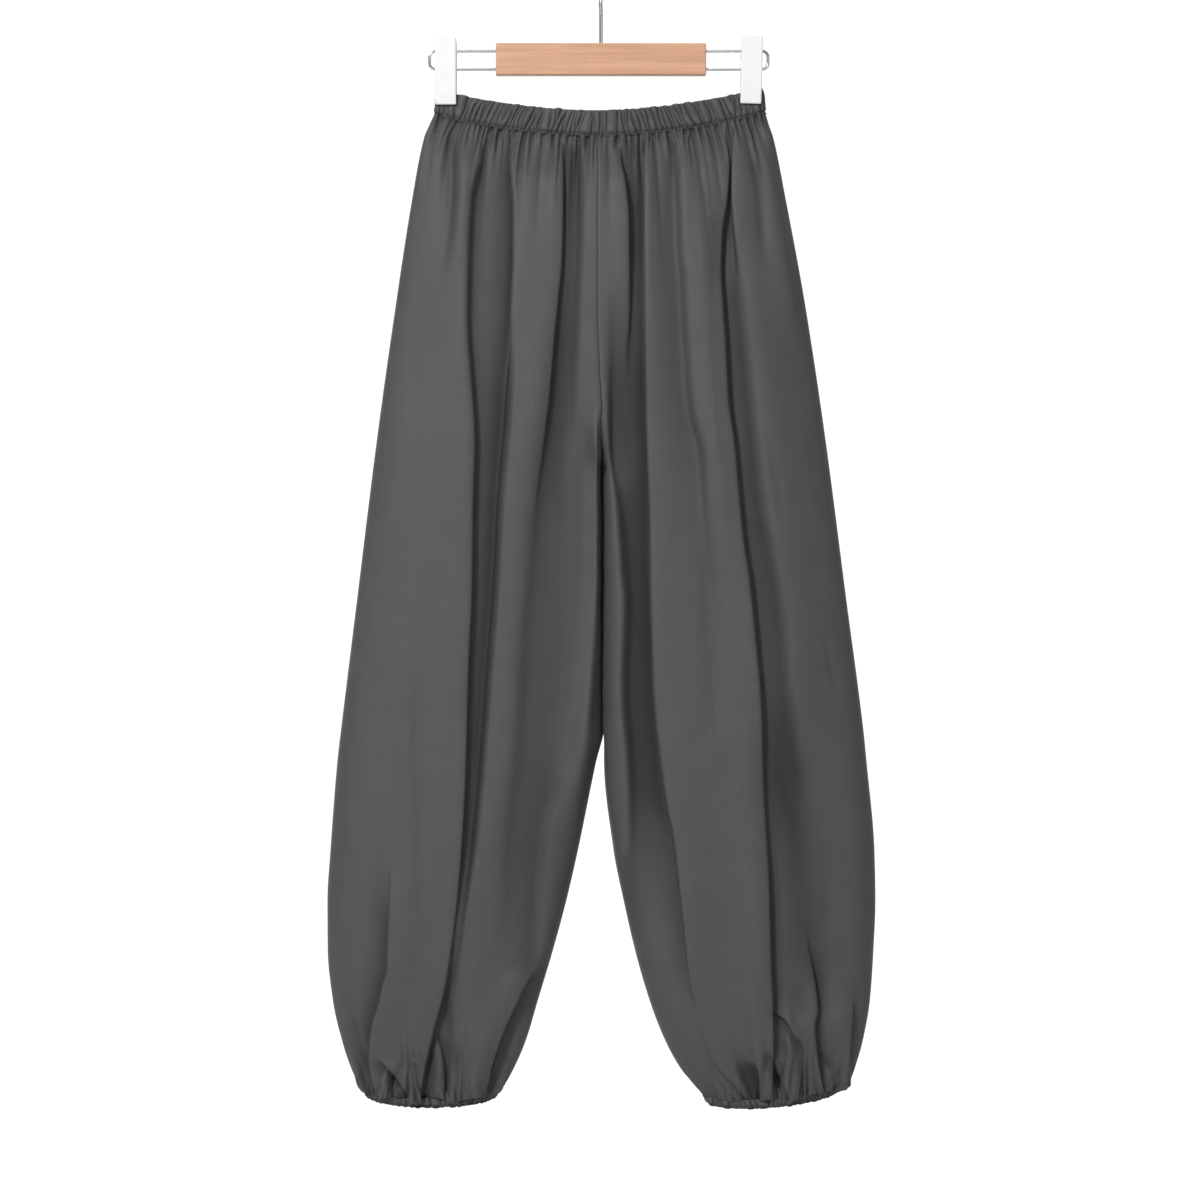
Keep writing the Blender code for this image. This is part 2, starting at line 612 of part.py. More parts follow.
def box(name, size, centre, material=None):
    bpy.ops.mesh.primitive_cube_add(size=1, location=centre)
    made = bpy.context.object
    made.name = name
    made.scale = size
    bpy.ops.object.transform_apply(location=False, rotation=False, scale=True)
    if material:
        made.data.materials.append(material)
    return made


def rod(name, radius, length, centre, axis, sides=16, material=None):
    turn = {"x": (0, math.pi / 2, 0), "z": (0, 0, 0)}[axis]
    bpy.ops.mesh.primitive_cylinder_add(
        radius=radius, depth=length, vertices=sides, location=centre, rotation=turn
    )
    made = bpy.context.object
    made.name = name
    if material:
        made.data.materials.append(material)
    return made


def boolean(target, tool, operation):
    """Adds or cuts away tool, which is then only a guide."""
    step = target.modifiers.new(tool.name, "BOOLEAN")
    step.operation = operation
    step.object = tool
    tool.hide_render = True
    tool.display_type = "WIRE"


def bar(material):
    """The wooden bar, bored for the hook's stem and for the four ends of the wire arms."""
    middle = (HANGER_X, 0, -BAR_TOP_DROP - BAR_HEIGHT / 2)
    made = box("hanger_bar", (BAR_LENGTH, BAR_THICKNESS, BAR_HEIGHT), middle, material)
    edge = made.modifiers.new("eased_edges", "BEVEL")
    edge.width = BAR_EDGE
    edge.segments = 2
    depth = HOOK_DEPTH_IN_BAR + BORE_PAST_WIRE
    stem = rod("cut_stem", HOOK_WIRE + HOLE_CLEARANCE, 2 * depth,
               (HANGER_X, 0, -BAR_TOP_DROP), "z")
    boolean(made, stem, "DIFFERENCE")
    for side in (-1, 1):
        for drop in (ARM_UPPER_DROP, ARM_LOWER_DROP):
            end = (HANGER_X + side * BAR_LENGTH / 2, 0, -drop)
            length = 2 * (ARM_IN_BAR + BORE_PAST_WIRE)
            bore = rod("cut_arm", ARM_WIRE + HOLE_CLEARANCE, length, end, "x")
            boolean(made, bore, "DIFFERENCE")
    return made


def arm(leg, material):
    """A wire loop that slides in the bar's end and carries a clip."""
    side = -1 if leg == "right" else 1
    start = HANGER_X + side * (BAR_LENGTH / 2 - ARM_IN_BAR)
    far = ARM_REACH[leg]
    near = far - side * ARM_CORNER
    quarter = [math.radians(a) for a in (90, 67.5, 45, 22.5, 0)]
    upper = [(near + side * ARM_CORNER * math.cos(a), 0,
              -ARM_UPPER_DROP - ARM_CORNER * (1 - math.sin(a))) for a in quarter]
    lower = [(near + side * ARM_CORNER * math.cos(a), 0,
              -ARM_LOWER_DROP + ARM_CORNER * (1 - math.sin(a))) for a in reversed(quarter)]
    path = [(start, 0, -ARM_UPPER_DROP), *upper, *lower, (start, 0, -ARM_LOWER_DROP)]
    return wire(f"hanger_arm_{leg}", path, ARM_WIRE, material)


def jaw(leg, face, material):
    """One half of a clip: a tapering plate with a grip at its foot and two ears for the pin."""
    sign = -1 if face == "front" else 1
    x = CLIP_X[leg]
    top = CLIP_TOP_DROP[leg]
    down = column(JAW, JAW_COLUMNS, "down") * CLIP_LENGTH + top
    outline = list(zip(column(JAW, JAW_COLUMNS, "outer"), down))
    outline += list(zip(column(JAW, JAW_COLUMNS, "inner")[::-1], down[::-1]))
    count = len(outline)
    points = [(x + s * CLIP_WIDTH / 2, sign * half, -drop) for s in (-1, 1)
              for half, drop in outline]
    faces = [tuple(range(count)), tuple(reversed(range(count, 2 * count)))]
    faces += [(j, (j + 1) % count, count + (j + 1) % count, count + j) for j in range(count)]
    made = object_from(f"clip_{leg}_{face}", points, faces, material)
    edge = made.modifiers.new("eased_edges", "BEVEL")
    edge.width = CLIP_EDGE
    edge.segments = 2
    edge.limit_method = "ANGLE"
    pin = (x, 0, -PIN_DROP)
    reach = EAR_ROOT + EAR_PAST_PIN
    for side in (-1, 1):
        middle = (x + side * EAR_X[face], sign * (reach / 2 - EAR_PAST_PIN), -PIN_DROP)
        boolean(made, box("add_ear", (EAR_THICKNESS, reach, EAR_HEIGHT), middle), "UNION")
    bore = rod("cut_pin", PIN_RADIUS + HOLE_CLEARANCE, 2 * CLIP_WIDTH, pin, "x", 12)
    boolean(made, bore, "DIFFERENCE")
    return made


def clip(leg, plastic, steel):
    """A sprung clip: two jaws on a pin, with a coil between their ears."""
    pieces = [jaw(leg, "front", plastic), jaw(leg, "back", plastic)]
    centre = (CLIP_X[leg], 0, -PIN_DROP)
    pieces.append(rod(f"clip_{leg}_pin", PIN_RADIUS, PIN_LENGTH, centre, "x", 12, steel))
    coil = rod(f"clip_{leg}_spring", SPRING_OUTER, SPRING_LENGTH, centre, "x", 16, steel)
    bore = rod("cut_coil", SPRING_INNER, 2 * SPRING_LENGTH, centre, "x", 12)
    boolean(coil, bore, "DIFFERENCE")
    pieces.append(coil)
    pivot = bpy.data.objects.new(f"lean_{leg}", None)
    bpy.context.collection.objects.link(pivot)
    pivot.location = centre
    bpy.context.view_layer.update()
    guides = [m.object for p in pieces for m in p.modifiers if m.type == "BOOLEAN"]
    for piece in pieces + guides:
        piece.parent = pivot
        piece.matrix_parent_inverse = pivot.matrix_world.inverted()
    pivot.rotation_euler = (0, math.radians(CLIP_LEAN[leg]), 0)


# ---------------------------------------------------------------- build
def clear_scene():
    for old in list(bpy.data.objects):
        bpy.data.objects.remove(old)


def make_materials():
    made = {}
    for name, (colour, roughness, metallic) in MATERIALS.items():
        material = bpy.data.materials.new(name)
        material.use_nodes = True
        shader = material.node_tree.nodes["Principled BSDF"]
        shader.inputs["Base Color"].default_value = (*colour, 1)
        shader.inputs["Roughness"].default_value = roughness
        shader.inputs["Metallic"].default_value = metallic
        made[name] = material
    return made


def main():
    clear_scene()
    materials = make_materials()
    for leg in ("right", "left"):
        for back in (False, True):
            leg_panel(leg, back, materials["woven_cloth"])
    waistband(materials["elastic_casing"])
    for row in HEMS:
        hem_casing(named(row, HEM_COLUMNS), materials["elastic_casing"])
    bar(materials["beech_wood"])
    hook(materials["steel_wire"])
    for leg in ("right", "left"):
        arm(leg, materials["steel_wire"])
        clip(leg, materials["white_plastic"], materials["steel_wire"])


main()
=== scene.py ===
# Balloon-leg pull-on trousers on a clip hanger: cloth, sewing, finishes, light and camera.
# Metres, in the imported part's frame: the front faces -Y, +X is the wearer's left leg, and the
# hook rests on its rod at the origin. A "drop" is a distance down from that rod.
import math

import bpy
import mathutils
import numpy as np
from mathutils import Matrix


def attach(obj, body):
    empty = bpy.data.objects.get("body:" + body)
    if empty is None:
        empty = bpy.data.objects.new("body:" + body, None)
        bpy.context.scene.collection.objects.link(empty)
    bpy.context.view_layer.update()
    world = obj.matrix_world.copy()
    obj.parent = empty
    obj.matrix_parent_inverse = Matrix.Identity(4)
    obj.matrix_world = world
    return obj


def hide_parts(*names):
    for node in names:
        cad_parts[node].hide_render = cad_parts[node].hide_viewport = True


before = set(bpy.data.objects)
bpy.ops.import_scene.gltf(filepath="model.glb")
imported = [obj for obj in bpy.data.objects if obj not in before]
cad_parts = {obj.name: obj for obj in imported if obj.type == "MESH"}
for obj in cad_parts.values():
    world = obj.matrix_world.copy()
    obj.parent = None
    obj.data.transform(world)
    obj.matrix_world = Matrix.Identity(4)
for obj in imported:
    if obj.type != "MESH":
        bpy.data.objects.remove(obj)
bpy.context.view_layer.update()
mm = 0.001
outward = {"right": -1, "left": 1}  # the way along X from the middle to each leg's side
otherLeg = {"right": "left", "left": "right"}


# small tools

def smoothAlong(at, known, values):
    # a cubic through the known values whose slopes are harmonic means, so it never overshoots
    known = np.asarray(known, float)
    values = np.asarray(values, float)
    at = np.clip(at, known[0], known[-1])
    step = np.diff(known)
    slope = np.diff(values) / step
    tangent = np.concatenate(([slope[0]], np.zeros(len(slope) - 1), [slope[-1]]))
    together = slope[:-1] * slope[1:]
    total = np.where(together > 0, slope[:-1] + slope[1:], 1.0)
    tangent[1:-1] = np.where(together > 0, 2 * together / total, 0.0)
    i = np.clip(np.searchsorted(known, at, side="right") - 1, 0, len(step) - 1)
    t = (at - known[i]) / step[i]
    return (values[i] * (2 * t**3 - 3 * t**2 + 1) + tangent[i] * step[i] * (t**3 - 2 * t**2 + t)
            + values[i + 1] * (3 * t**2 - 2 * t**3) + tangent[i + 1] * step[i] * (t**3 - t**2))


def ramp(at, start, end):
    # 0 before start, 1 after end, eased at both: 3t^2 - 2t^3
    t = np.clip((at - start) / (end - start), 0, 1)
    return t * t * (3 - 2 * t)


def bump(away, reach):
    # a bell: e to the minus square of the distance over its reach
    return np.exp(-(away / reach) ** 2)


def dying(away, amount, reach):
    # an amount that dies away: times e to the minus distance over its reach
    return amount * np.exp(-away / reach)


def grown(away, start, reach):
    # a starting share that has grown to 1, eased, at the reach
    return start + (1 - start) * ramp(away, 0, reach)


def gridFaces(rows, columns, wrapAcross=False, wrapDown=False, flip=False):
    # quads of a grid of points numbered row by row; a wrapped direction closes on itself
    i = np.arange(rows if wrapDown else rows - 1)[:, None]
    j = np.arange(columns if wrapAcross else columns - 1)[None, :]
    below = (i + 1) % rows
    beside = (j + 1) % columns
    corners = [i * columns + j, i * columns + beside, below * columns + beside,
               below * columns + j]
    faces = np.stack(corners, axis=-1).reshape(-1, 4)
    return faces[:, ::-1] if flip else faces


def addPiece(name, points, faces, material, stands, uv=None, paintedShade=None):
    # puts points and faces into a new mesh object that rides on the part for the named nodes
    mesh = bpy.data.meshes.new(name)
    faces = faces.tolist() if hasattr(faces, "tolist") else faces
    mesh.from_pydata(points.reshape(-1, 3).tolist(), [], faces)
    if uv is not None:
        corner = np.empty(len(mesh.loops), dtype=np.int32)
        mesh.loops.foreach_get("vertex_index", corner)
        layer = mesh.uv_layers.new(name="clothGrain")
        layer.data.foreach_set("uv", uv.reshape(-1, 2)[corner].ravel())
    # painted shade goes into a point attribute that the cloth's material darkens its colour by
    if paintedShade is not None:
        layer = mesh.attributes.new("paintedShade", "FLOAT", "POINT")
        layer.data.foreach_set("value", paintedShade.astype(np.float32).ravel())
    mesh.materials.append(material)
    mesh.shade_smooth()
    piece = bpy.data.objects.new(name, mesh)
    bpy.context.collection.objects.link(piece)
    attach(piece, "root")
    if stands:
        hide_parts(*stands)
    return piece


def thicken(piece, thickness):
    # the cloth's thickness, inwards from the surface
    shell = piece.modifiers.new("clothThickness", "SOLIDIFY")
    shell.thickness = thickness
    shell.offset = -1
    return piece


def tubePoints(path, radius, sides, across):
    # a circle carried along a path: each ring lies square to it, spanned by "across" and the
    # cross product of the path's direction with it
    ahead = np.gradient(path, axis=0)
    ahead /= np.linalg.norm(ahead, axis=1, keepdims=True)
    across = np.broadcast_to(across, path.shape)
    across = across - ahead * (ahead * across).sum(axis=1, keepdims=True)
    across /= np.linalg.norm(across, axis=1, keepdims=True)
    upright = np.cross(ahead, across)
    turn = np.arange(sides) / sides * 2 * math.pi
    ring = (across[:, None] * np.cos(turn)[None, :, None]
            + upright[:, None] * np.sin(turn)[None, :, None])
    radius = np.broadcast_to(radius, (len(path),))
    return path[:, None] + ring * radius[:, None, None]


def closedTubeFaces(rings, sides):
    # a tube's quads and the two many-sided faces that close its ends
    faces = gridFaces(rings, sides, wrapAcross=True).tolist()
    return faces + [list(range(sides))[::-1], [(rings - 1) * sides + k for k in range(sides)]]


def roundedCurve(points, steps):
    # Catmull-Rom: a smooth curve through the points, with so many steps between two of them
    p = np.array(points, float)
    p = np.vstack([2 * p[0] - p[1], p, 2 * p[-1] - p[-2]])
    t = (np.arange(steps) / steps)[None, :, None]
    a, b, c, d = (p[k:len(p) - 3 + k, None] for k in range(4))
    curve = 0.5 * (2 * b + (c - a) * t + (2 * a - 5 * b + 4 * c - d) * t**2
                   + (3 * b - a - 3 * c + d) * t**3)
    return np.vstack([curve.reshape(-1, 3), p[-2]])


# the trousers' form

trouserForm = {
    "bandHalfWidth": 0.1660,
    "bandHeight": 0.0250,
    "bandDrop": 0.1638,  # top edge at the centre front
    "bandRise": 0.0193,  # lift at the clips, and how it grows towards them
    "bandRiseAt": 0.1500,
    "bandRisePower": 1.8,
    "bandTilt": 0.0010,
    "bandEndRadius": 0.0040,
    "bandBulge": 0.0100,
    "bandBulgeTo": 0.1420,
    "sectionPower": 2.9,  # of the legs' oval section
    "opensOver": 0.050,
    "forkDrop": 0.487,
    "forkBendStart": 0.250,
    "forkBendPower": 3.6,
    "groovePower": 16,  # and how suddenly the groove between the legs opens at it
    "grooveWidth": 0.022,
    "grooveDrop": 0.520,
    "seamHalfGap": 0.00015,
}

# x of each leg's side seam and inseam, and the half depth, at drops down the garment
levelColumns = ("drop", "rightSide", "rightInseam", "leftSide", "leftInseam", "halfDepth")
levelTable = (
    (0.166, -0.1668, -0.00015, 0.1668, 0.00015, 0.0140),
    (0.176, -0.1705, -0.00015, 0.1690, 0.00015, 0.0165),
    (0.190, -0.1760, -0.00015, 0.1735, 0.00015, 0.0205),
    (0.252, -0.1880, -0.00015, 0.1860, 0.00015, 0.0295),
    (0.352, -0.2035, -0.00015, 0.2045, 0.00015, 0.0360),
    (0.487, -0.2225, 0.00380, 0.2250, 0.00420, 0.0380),
    (0.652, -0.2430, 0.00430, 0.2465, 0.00465, 0.0400),
    (0.782, -0.2590, 0.00350, 0.2635, 0.00400, 0.0430),
    (0.812, -0.2625, -0.00350, 0.2665, 0.00400, 0.0440),
    (0.902, -0.2695, -0.02200, 0.2745, 0.01350, 0.0465),
    (0.952, -0.2725, -0.03350, 0.2755, 0.02350, 0.0475),
    (1.002, -0.2722, -0.04700, 0.2735, 0.03500, 0.0475),
    (1.052, -0.2670, -0.06200, 0.2700, 0.04950, 0.0450),
    (1.092, -0.2580, -0.07400, 0.2630, 0.06500, 0.0385),
    (1.122, -0.2480, -0.08700, 0.2540, 0.08200, 0.0300),
    (1.143, -0.2375, -0.09900, 0.2435, 0.10200, 0.0220),
)

hemForms = {
    "right": {"centre": -0.1683, "halfWidth": 0.0692, "sideDrop": 1.1360, "inseamDrop": 1.1360,
              "sag": 0.0110, "height": 0.0090, "halfDepth": 0.0220},
    "left": {"centre": 0.1728, "halfWidth": 0.0708, "sideDrop": 1.1300, "inseamDrop": 1.1420,
             "sag": 0.0110, "height": 0.0090, "halfDepth": 0.0220},
}


def levelAt(name, drop):
    # one column of the table at any drop, along a smooth curve
    known = [row[0] for row in levelTable]
    return smoothAlong(drop, known, [row[levelColumns.index(name)] for row in levelTable])


def bandTop(x):
    # the band's top edge hangs between the clips: a drop less a power of the distance out
    f = trouserForm
    rise = f["bandRise"] * (np.abs(x) / f["bandRiseAt"]) ** f["bandRisePower"]
    return f["bandDrop"] - rise - f["bandTilt"] * x / f["bandRiseAt"]


def bandHalfDepth(x):
    # pinched to a rounded end under each clip, with a lens-shaped bulge between them
    f = trouserForm
    intoEnd = np.clip(1 - (f["bandHalfWidth"] - np.abs(x)) / f["bandEndRadius"], 0, 1)
    bulge = np.clip(1 - (np.abs(x) / f["bandBulgeTo"]) ** 2, 0, 1) ** 1.5
    return f["bandEndRadius"] * np.sqrt(1 - intoEnd**2) + f["bandBulge"] * bulge


def oval(offCentre):
    # a superellipse's height: (1 - |u|^p)^(1/p)
    power = trouserForm["sectionPower"]
    return (1 - np.clip(np.abs(offCentre), 0, 1) ** power) ** (1 / power)


def panelX(leg, share, drop):
    # a share of the way from a leg's side seam to its inseam
    side = levelAt(leg + "Side", drop)
    return side + share * (levelAt(leg + "Inseam", drop) - side)


def legWidth(leg, drop):
    # from side seam to inseam
    return np.abs(levelAt(leg + "Inseam", drop) - levelAt(leg + "Side", drop))


def bandX(leg, share):
    # the same share of the way along the band, from its end to the middle
    return outward[leg] * trouserForm["bandHalfWidth"] * (1 - share)


def belowBand(leg, share, drop):
    # how far a point lies under the band's lower edge, straight above it
    return drop - bandTop(bandX(leg, share)) - trouserForm["bandHeight"]


def hemTop(leg, share):
    # a hem casing's upper edge: a straight line between its ends, plus half an ellipse of sag
    hem = hemForms[leg]
    ends = hem["sideDrop"] + share * (hem["inseamDrop"] - hem["sideDrop"])
    return ends + hem["sag"] * 2 * np.sqrt(np.clip(share * (1 - share), 0, 1))


def panelDrop(leg, share, down):
    # straight down from the band's lower edge to the hem casing's upper one
    top = bandTop(bandX(leg, share)) + trouserForm["bandHeight"]
    return top + down * (hemTop(leg, share) - top)


def plainHalfDepth(leg, share, drop):
    # half a shared hip oval above the fork blends into an oval for each leg below it, and
    # into the waistband's lens just under the band; beside the seam the two legs' sections
    # part lower down and more suddenly
    f = trouserForm
    bent, split = (np.clip((drop - f["forkBendStart"]) / (f[end] - f["forkBendStart"]), 0, 1)
                   for end in ("forkDrop", "grooveDrop"))
    hip = 1 - bent ** f["forkBendPower"]
    atSeam = bump((1 - share) * legWidth(leg, drop), f["grooveWidth"])
    whole = hip + (1 - split ** f["groovePower"] - hip) * atSeam
    section = (1 - whole) * oval(2 * share - 1) + whole * oval(1 - share)
    opened = ramp(belowBand(leg, share, drop), 0, f["opensOver"])
    lens = bandHalfDepth(bandX(leg, share))
    return lens * (1 - opened) + levelAt("halfDepth", drop) * section * opened, hip


# folds and creases, placed one by one

# Lines that the folds and creases of the front run along, each a row of (drop, x) in mm.
foldLines = {
    "rightOuter": (
        (177, -117), (212, -118), (232, -122), (252, -126), (312, -129), (372, -130),
        (432, -127), (492, -123.5), (552, -125), (632, -126), (732, -130), (812, -132),
        (892, -136), (962, -142), (1022, -151), (1082, -166), (1132, -178)),
    "rightMiddle": (
        (177, -88), (202, -89), (232, -87), (262, -85), (312, -85), (352, -86.5), (392, -88),
        (472, -92), (552, -99), (632, -103), (712, -109), (792, -115), (872, -122),
        (962, -134), (1032, -145), (1052, -152)),
    "rightInner": (
        (202, -37), (252, -36.5), (312, -37.5), (352, -41), (392, -45), (422, -47.5),
        (452, -50), (512, -57), (572, -64), (632, -69), (692, -75), (792, -80), (872, -90),
        (942, -94), (982, -100), (1012, -107), (1052, -112)),
    "rightCentre": (
        (192, -14), (232, -17), (312, -19), (352, -21), (392, -23), (432, -25), (552, -30)),
    "rightHip": ((177, -141), (202, -142), (252, -145), (292, -148), (342, -155)),
    "rightShin": (
        (812, -40), (852, -45), (872, -51), (902, -54), (932, -56), (992, -60), (1020, -63)),
    "rightAnkle": (
        (952, -208), (1017, -209), (1030, -213), (1052, -218), (1067, -223), (1092, -227),
        (1112, -228), (1122, -226), (1132, -222), (1147, -212)),
    "rightHook": (
        (1015, -60), (1021, -65), (1027, -72), (1037, -78), (1052, -85), (1067, -92),
        (1082, -98), (1097, -103), (1112, -108), (1127, -112), (1137, -116), (1145, -119)),
    "rightFan": (
        (1107, -219), (1112, -213), (1118, -207), (1126, -200), (1132, -194), (1138, -190),
        (1146, -188)),
    "rightCuff": ((1082, -161), (1112, -155), (1147, -154)),
    "leftCentre": (
        (202, 21), (217, 22), (232, 25), (247, 27), (267, 29), (292, 29.5), (372, 30),
        (402, 28), (450, 27)),
    "leftInner": (
        (192, 46), (212, 45), (372, 45), (412, 45.5), (452, 46), (532, 48), (612, 49),
        (652, 49.5), (692, 51), (732, 52), (762, 54), (792, 57), (822, 61), (852, 65),
        (882, 71), (912, 75), (972, 82), (1002, 85), (1032, 89), (1052, 93)),
    "leftFork": (
        (404, 11.5), (492, 12), (522, 14), (542, 17), (572, 20), (602, 22), (632, 24),
        (652, 26), (692, 25), (732, 23.5), (762, 24.5), (792, 27), (852, 30), (882, 30),
        (897, 29), (905, 25), (910, 21)),
    "leftMiddle": (
        (192, 77), (232, 77), (272, 78), (302, 79), (334, 82), (382, 84), (412, 86),
        (442, 88), (472, 92), (502, 100), (572, 105), (632, 110), (682, 117)),
    "leftOuter": (
        (177, 124), (222, 128), (252, 126), (292, 121), (332, 120), (352, 121), (397, 124),
        (452, 127), (497, 133), (532, 136), (592, 142), (632, 148), (682, 153), (752, 159),
        (832, 162), (932, 166), (1012, 168), (1052, 170), (1132, 171)),
    "leftSide": (
        (177, 134), (212, 132), (252, 131), (282, 133), (332, 137), (382, 142), (442, 148),
        (502, 154), (557, 160), (602, 169), (652, 178), (682, 182), (732, 185), (772, 191),
        (802, 195), (832, 200), (872, 203), (942, 208)),
    "leftHook": (
        (1055, 168), (1062, 175), (1070, 185), (1082, 192), (1092, 200), (1112, 202),
        (1147, 202)),
    "leftAnkle": (
        (982, 205), (997, 208), (1022, 212), (1057, 215), (1072, 212), (1107, 215),
        (1127, 219), (1147, 225)),
    "leftCuffSide": ((1050, 251), (1072, 248), (1097, 246), (1117, 244), (1145, 240)),
    "leftCuff": ((1108, 150), (1118, 157), (1130, 158.5), (1150, 159)),
    "leftFan": ((1098, 169), (1102, 171), (1117, 175), (1132, 185), (1149, 196)),
}

# Valleys between two lines: the cloth turns down at the line "lip" and lies over again from
# the line "edge" on. fades are the drops where it begins, is full, starts to fade and is
# gone; depth is in mm, and floors and shades are the shares of it and of the painted shade at
# the lip and at the edge, the shades also three quarters of the way across. lipRise and
# edgeRise are the swelling beside it and reach how far they die away; each step is the width
# of a turn, and each tuck how far its cloth hangs over.
valleyColumns = ("leg", "lip", "edge", "fades", "depth", "floors", "shades", "lipRise",
                 "edgeRise", "reach", "lipStep", "lipTuck", "edgeStep", "edgeTuck")
valleyTable = (
    ("right", "rightOuter", "rightMiddle", (160, 200, 360, 460), 22, (0.40, 1.0),
     (0.0, 0.15, 0.95), 4.0, 4.0, 32, 2.6, 1.0, 1.3, 4.6),
    ("right", "rightOuter", "rightMiddle", (360, 460, 880, 1080), 20, (0.50, 0.80),
     (0.28, 0.88, 0.88), 4.5, 2.5, 34, 2.2, 3.0, 3.0, 0.0),
    ("right", "rightInner", "rightCentre", (165, 215, 400, 600), 12, (0.60, 0.5),
     (0.72, 0.92, 0.70), 3.0, 1.0, 22, 1.8, 2.6, 5.0, 0.0),
    ("left", "leftCentre", "leftInner", (165, 205, 290, 450), 19, (0.70, 1.0),
     (0.30, 0.60, 0.80), 3.5, 4.0, 24, 2.0, 2.2, 1.3, 4.4),
    ("left", "leftFork", "leftInner", (320, 460, 500, 580), 15, (0.30, 1.0),
     (0.35, 0.85, 1.0), 2.0, 4.0, 28, 3.6, 0.6, 1.6, 3.6),
    ("left", "leftFork", "leftInner", (500, 580, 790, 1010), 20, (0.45, 1.0),
     (0.95, 1.2, 1.15), 3.0, 3.0, 32, 3.0, 1.0, 2.2, 3.0),
    ("left", "leftOuter", "leftSide", (160, 190, 270, 340), 16, (0.80, 1.0),
     (0.30, 0.75, 0.80), 4.5, 4.0, 26, 1.8, 3.0, 1.5, 3.5),
    ("left", "leftOuter", "leftSide", (270, 340, 760, 960), 17, (0.70, 0.6),
     (0.35, 0.95, 0.85), 4.5, 0.5, 30, 2.2, 3.0, 8.0, 0.0),
)

# Creases: "over" is the side (of the picture) whose cloth lies on top. rise and fall are the
# steps up and down at the line, reach and under how far each dies away, step and tuck as above.
creaseColumns = ("leg", "line", "over", "fades", "rise", "fall", "reach", "under", "step", "tuck")
creaseTable = (
    ("right", "rightHip", "right", (165, 200, 270, 350), 2.5, 4.5, 14, 12, 5.0, 0.0),
    ("right", "rightOuter", "left", (960, 1060, 1150, 1200), 4.0, 9.0, 22, 15, 1.5, 3.6),
    ("right", "rightInner", "left", (320, 460, 800, 1075), 3.0, 3.0, 24, 24, 7.0, 0.0),
    ("right", "rightShin", "right", (780, 850, 980, 1040), 3.0, 4.0, 16, 16, 5.5, 0.0),
    ("right", "rightAnkle", "right", (900, 1000, 1160, 1200), 5.5, 7.5, 22, 20, 1.7, 3.4),
    ("right", "rightHook", "left", (1008, 1030, 1170, 1200), 6.0, 9.5, 20, 19, 1.5, 3.6),
    ("right", "rightFan", "right", (1102, 1122, 1170, 1200), 4.0, 11.0, 10, 13, 1.4, 2.4),
    ("right", "rightCuff", "left", (1075, 1100, 1170, 1200), 4.0, 6.0, 9, 9, 1.4, 2.2),
    ("left", "leftFork", "left", (420, 480, 500, 600), 1.5, 2.5, 12, 8, 2.2, 1.0),
    ("left", "leftInner", "right", (880, 980, 1000, 1075), 4.0, 6.0, 22, 18, 2.1, 1.6),
    ("left", "leftMiddle", "right", (160, 180, 470, 700), 3.5, 6.0, 22, 22, 4.5, 0.6),
    ("left", "leftOuter", "left", (820, 960, 1112, 1152), 4.5, 9.0, 24, 16, 1.5, 3.6),
    ("left", "leftHook", "right", (1045, 1080, 1170, 1200), 3.5, 6.5, 14, 11, 1.6, 2.6),
    ("left", "leftAnkle", "left", (975, 1040, 1170, 1200), 4.0, 8.0, 12, 12, 1.5, 2.8),
    ("left", "leftCuffSide", "left", (1040, 1070, 1170, 1200), 4.5, 7.0, 14, 11, 1.5, 2.8),
    ("left", "leftCuff", "right", (1106, 1122, 1170, 1200), 4.0, 12.0, 9, 18, 1.4, 2.4),
    ("left", "leftFan", "right", (1096, 1110, 1170, 1200), 3.0, 9.0, 11, 9, 1.4, 2.2),
)

